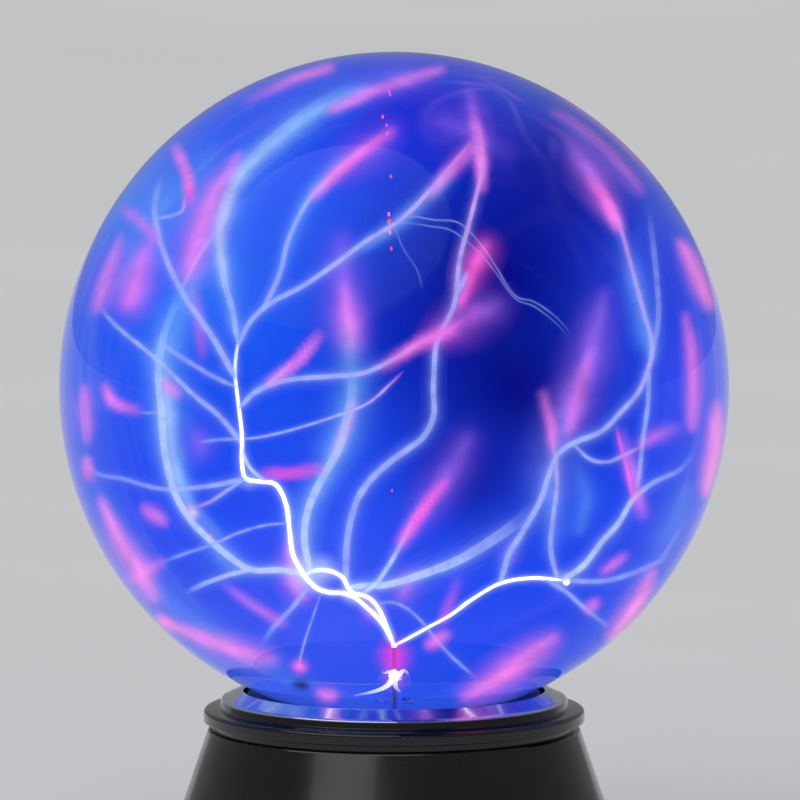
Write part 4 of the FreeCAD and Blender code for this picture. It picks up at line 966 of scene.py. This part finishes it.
def soft_knots_and_pinch_reflection():
    """Haze where streams meet, and a painted glow round the pinch of glass, standing in for the streams'
    light mirrored in it.
    """
    finish = glow_finish("plasma_knot_and_pinch_reflection", one_sided=False, flicker=0.1, grain=4 * MM)
    pinch = Vector((0, -1.0 * MM, STEM_TOP - 1.0 * MM))
    # place, radius in mm, strength and tint
    spots = (
        (loop.nearest((-0.26, -0.565)), 7.5, 0.085, PALE),
        (loop.nearest((-0.21, -0.55)), 6.0, 0.085, PALE),
        (loop.nearest((-0.12, -0.62)), 5.0, 0.06, PALE),
        (right_trunk.nearest((0.50, -0.57)), 4.0, 0.07, PALE),
        (trunk.nearest((-0.43, -0.275)), 4.0, 0.05, PALE),
        # painted reflection: pink haze where the pinch of glass mirrors the streams
        (pinch, 5.0, 0.06, PINK),
    )
    shells, density, colours = [], [], []
    for centre, radius, strength, tint in spots:
        for k in range(KNOT_SHELLS):
            share = (k + 1) / KNOT_SHELLS
            shells.append(ball(centre, radius * MM * share))
            density.append(strength * (1 + KNOT_EDGE - share))
            colours.append(linear(tint))
    vertices, faces, counts = gather(shells)
    made = piece("soft_knots_and_pinch_reflection", vertices, faces, finish, "plasma_stream")
    paint(made, np.repeat(colours, counts, axis=0), np.repeat(density, counts))


# painted reflection of the streams' light in the glass pinch: arms that run out along its edges, from its
# middle, in mm: points and thickness
PINCH_REFLECTION_ARMS = (
    ([(0, 0, 0), (1.6, -0.5, 0.5), (2.6, -0.8, 1.6), (3.6, -0.9, 1.4), (4.3, -1.0, 0.4)], 1.0),
    ([(0, 0, 0.4), (-1.6, -0.5, 1.3), (-2.6, -0.8, 0.9), (-3.6, -0.9, 1.3)], 0.7),
    ([(0, 0, 0), (-1.2, -0.6, -2.2), (-3.4, -1.0, -3.8), (-7.0, -1.5, -5.0), (-12.0, -2.0, -6.0)], 0.95),
    ([(0, 0, 0), (0.3, -0.6, -2.0), (0.6, -0.8, -3.6), (2.0, -1.0, -5.0)], 1.2),
    ([(0, 0, -0.6), (1.8, -0.4, -1.0), (2.4, -0.6, -0.1)], 0.7),
    ([(0, 0, -1.0), (-1.5, -0.4, -1.4), (-2.2, -0.6, -2.4)], 0.6),
)
ARM_STEP = 0.6 * MM
ARM_END = 0.2 * MM
ARM_FADE = 0.8  # share of an arm's density that is gone at its end

GLINT_POWER = 1.5
GLINT_DENSITY = 0.85
TIP_REFLECTION_TALL = 1.8
TIP_REFLECTION_REACH = 0.96
# painted reflections of the electrode tip's glow in the glass, down the front of the globe: place in globe
# radii, radius in mm and tint
TIP_REFLECTION_SPECKS = (
    (-0.015, 0.86, 0.25, ROSE), (-0.012, 0.85, 0.22, ROSE), (-0.033, 0.785, 0.32, EMBER),
    (-0.022, 0.76, 0.25, ROSE), (-0.02, 0.735, 0.32, ROSE), (-0.009, 0.61, 0.28, EMBER),
    (-0.015, 0.5, 0.34, ROSE), (-0.014, 0.478, 0.42, EMBER), (-0.012, 0.447, 0.36, ROSE),
    (-0.008, 0.4, 0.3, EMBER), (-0.006, -0.3, 0.22, EMBER), (-0.53, -0.43, 0.25, EMBER),
)


def glints():
    """Crisp points of light: the right trunk's knot and the tip, and painted reflections: a glint where the
    pinch of glass mirrors the streams, and specks of the tip's glow down the front.
    """
    finish = glow_finish("plasma_glint_and_painted_reflections", one_sided=False, flicker=0.05, grain=3 * MM)
    # painted reflection: a white glint where the pinch of glass mirrors the bright streams
    pinch = Vector((0, -1.5 * MM, STEM_TOP))
    knot = seen_at(0.512, -0.58, -0.15)
    beads = [(knot, 1.1, 1.0, WHITE), (TIP, 0.9, 1.0, WHITE), (pinch, 1.7, 1.1, WHITE)]
    # painted reflections: specks of the tip's glow set on the near glass
    beads += [(seen_at(u, v, -1, TIP_REFLECTION_REACH), size, TIP_REFLECTION_TALL, tint) for u, v, size, tint in TIP_REFLECTION_SPECKS]
    shapes = [ball(centre, radius * MM, tall) for centre, radius, tall, _ in beads]
    colours = [np.tile(linear(tint), (len(v), 1)) for (v, _), (*_, tint) in zip(shapes, beads)]
    density = [np.full(len(v), GLINT_DENSITY) for v, _ in shapes]
    # painted reflection: arms of the pinch's glint, white fading to lilac
    for arm, thick in PINCH_REFLECTION_ARMS:
        line = smooth_path([pinch + MM * Vector(p) for p in arm], ARM_STEP)
        v, f, where = tube_mesh(line, np.linspace(thick * MM, ARM_END, len(line)))
        share = where[:, None] / (len(line) - 1)
        shapes.append((v, f))
        colours.append(linear(WHITE) * (1 - share) + linear(LILAC) * share)
        density.append(GLINT_DENSITY * (1 - ARM_FADE * share[:, 0]))
    vertices, faces, _ = gather(shapes)
    made = piece("bright_knots_and_painted_reflections", vertices, faces, finish, "plasma_stream")
    paint(made, GLINT_POWER * np.concatenate(colours), np.concatenate(density))


# ---- stage

FLOOR_R = 9.0
FLOOR_DEPTH = 0.05
FLOOR_AROUND = 96
SKY_LIGHT = (0.26, 0.265, 0.275)
STUDIO_LIGHT = 1.7
LIGHT_SPREAD = math.radians(70)
LIGHT_TURN = (math.radians(24), math.radians(-20), 0)


def stage():
    """A plain pale floor, one large soft light overhead and an even pale sky."""
    under = FLOOR_Z - FLOOR_DEPTH
    outline = [(0, FLOOR_Z), (FLOOR_R, FLOOR_Z), (FLOOR_R, under), (0, under)]
    vertices, faces = lathe(outline, FLOOR_AROUND, inward=True)
    mesh = bpy.data.meshes.new("floor")
    mesh.from_pydata(vertices, [], faces)
    floor = placed("floor", mesh)
    f = Finish("floor_paint")
    f.link(f.mix(f.span(f.noise(0.5, 3), 0, 1), (0.79, 0.79, 0.80), (0.82, 0.82, 0.83)), "Base Color")
    f.link(f.span(f.noise(0.2), 0.55, 0.7), "Roughness")
    mesh.materials.append(f.material)
    world = bpy.data.worlds.new("studio")
    world.use_nodes = True
    world.node_tree.nodes["Background"].inputs["Color"].default_value = (*SKY_LIGHT, 1)
    scene.world = world
    lamp = bpy.data.lights.new("softbox", "SUN")
    lamp.energy = STUDIO_LIGHT
    lamp.angle = LIGHT_SPREAD
    placed("softbox", lamp).rotation_euler = LIGHT_TURN


def camera():
    """The photograph's framing: the globe's radius and place as shares of the picture."""
    tangent = GLOBE_R / math.sqrt(DISTANCE**2 - GLOBE_R**2)
    lens = bpy.data.cameras.new("camera")
    lens.sensor_width = SENSOR
    lens.lens = GLOBE_SHARE * SENSOR / tangent
    lens.clip_start, lens.clip_end = 0.1, 100
    made = placed("camera", lens)
    metres = DISTANCE * SENSOR / lens.lens  # width of the picture at the globe's distance
    aim = CENTRE - RIGHT * OFF_CENTRE[0] * metres - UPWARD * OFF_CENTRE[1] * metres
    made.location = CENTRE - AWAY * DISTANCE
    made.rotation_mode = "QUATERNION"
    made.rotation_quaternion = (aim - made.location).to_track_quat("-Z", "Y")
    scene.camera = made


dress_cad_nodes()
globe_glass()
glow_wall()
glow_film()
streams_in_layers()
tip_glow()
soft_knots_and_pinch_reflection()
glints()
stage()
camera()

scene.view_settings.view_transform = "Standard"
scene.cycles.transparent_max_bounces = 64
scene.cycles.transmission_bounces = 16
scene.cycles.max_bounces = 16
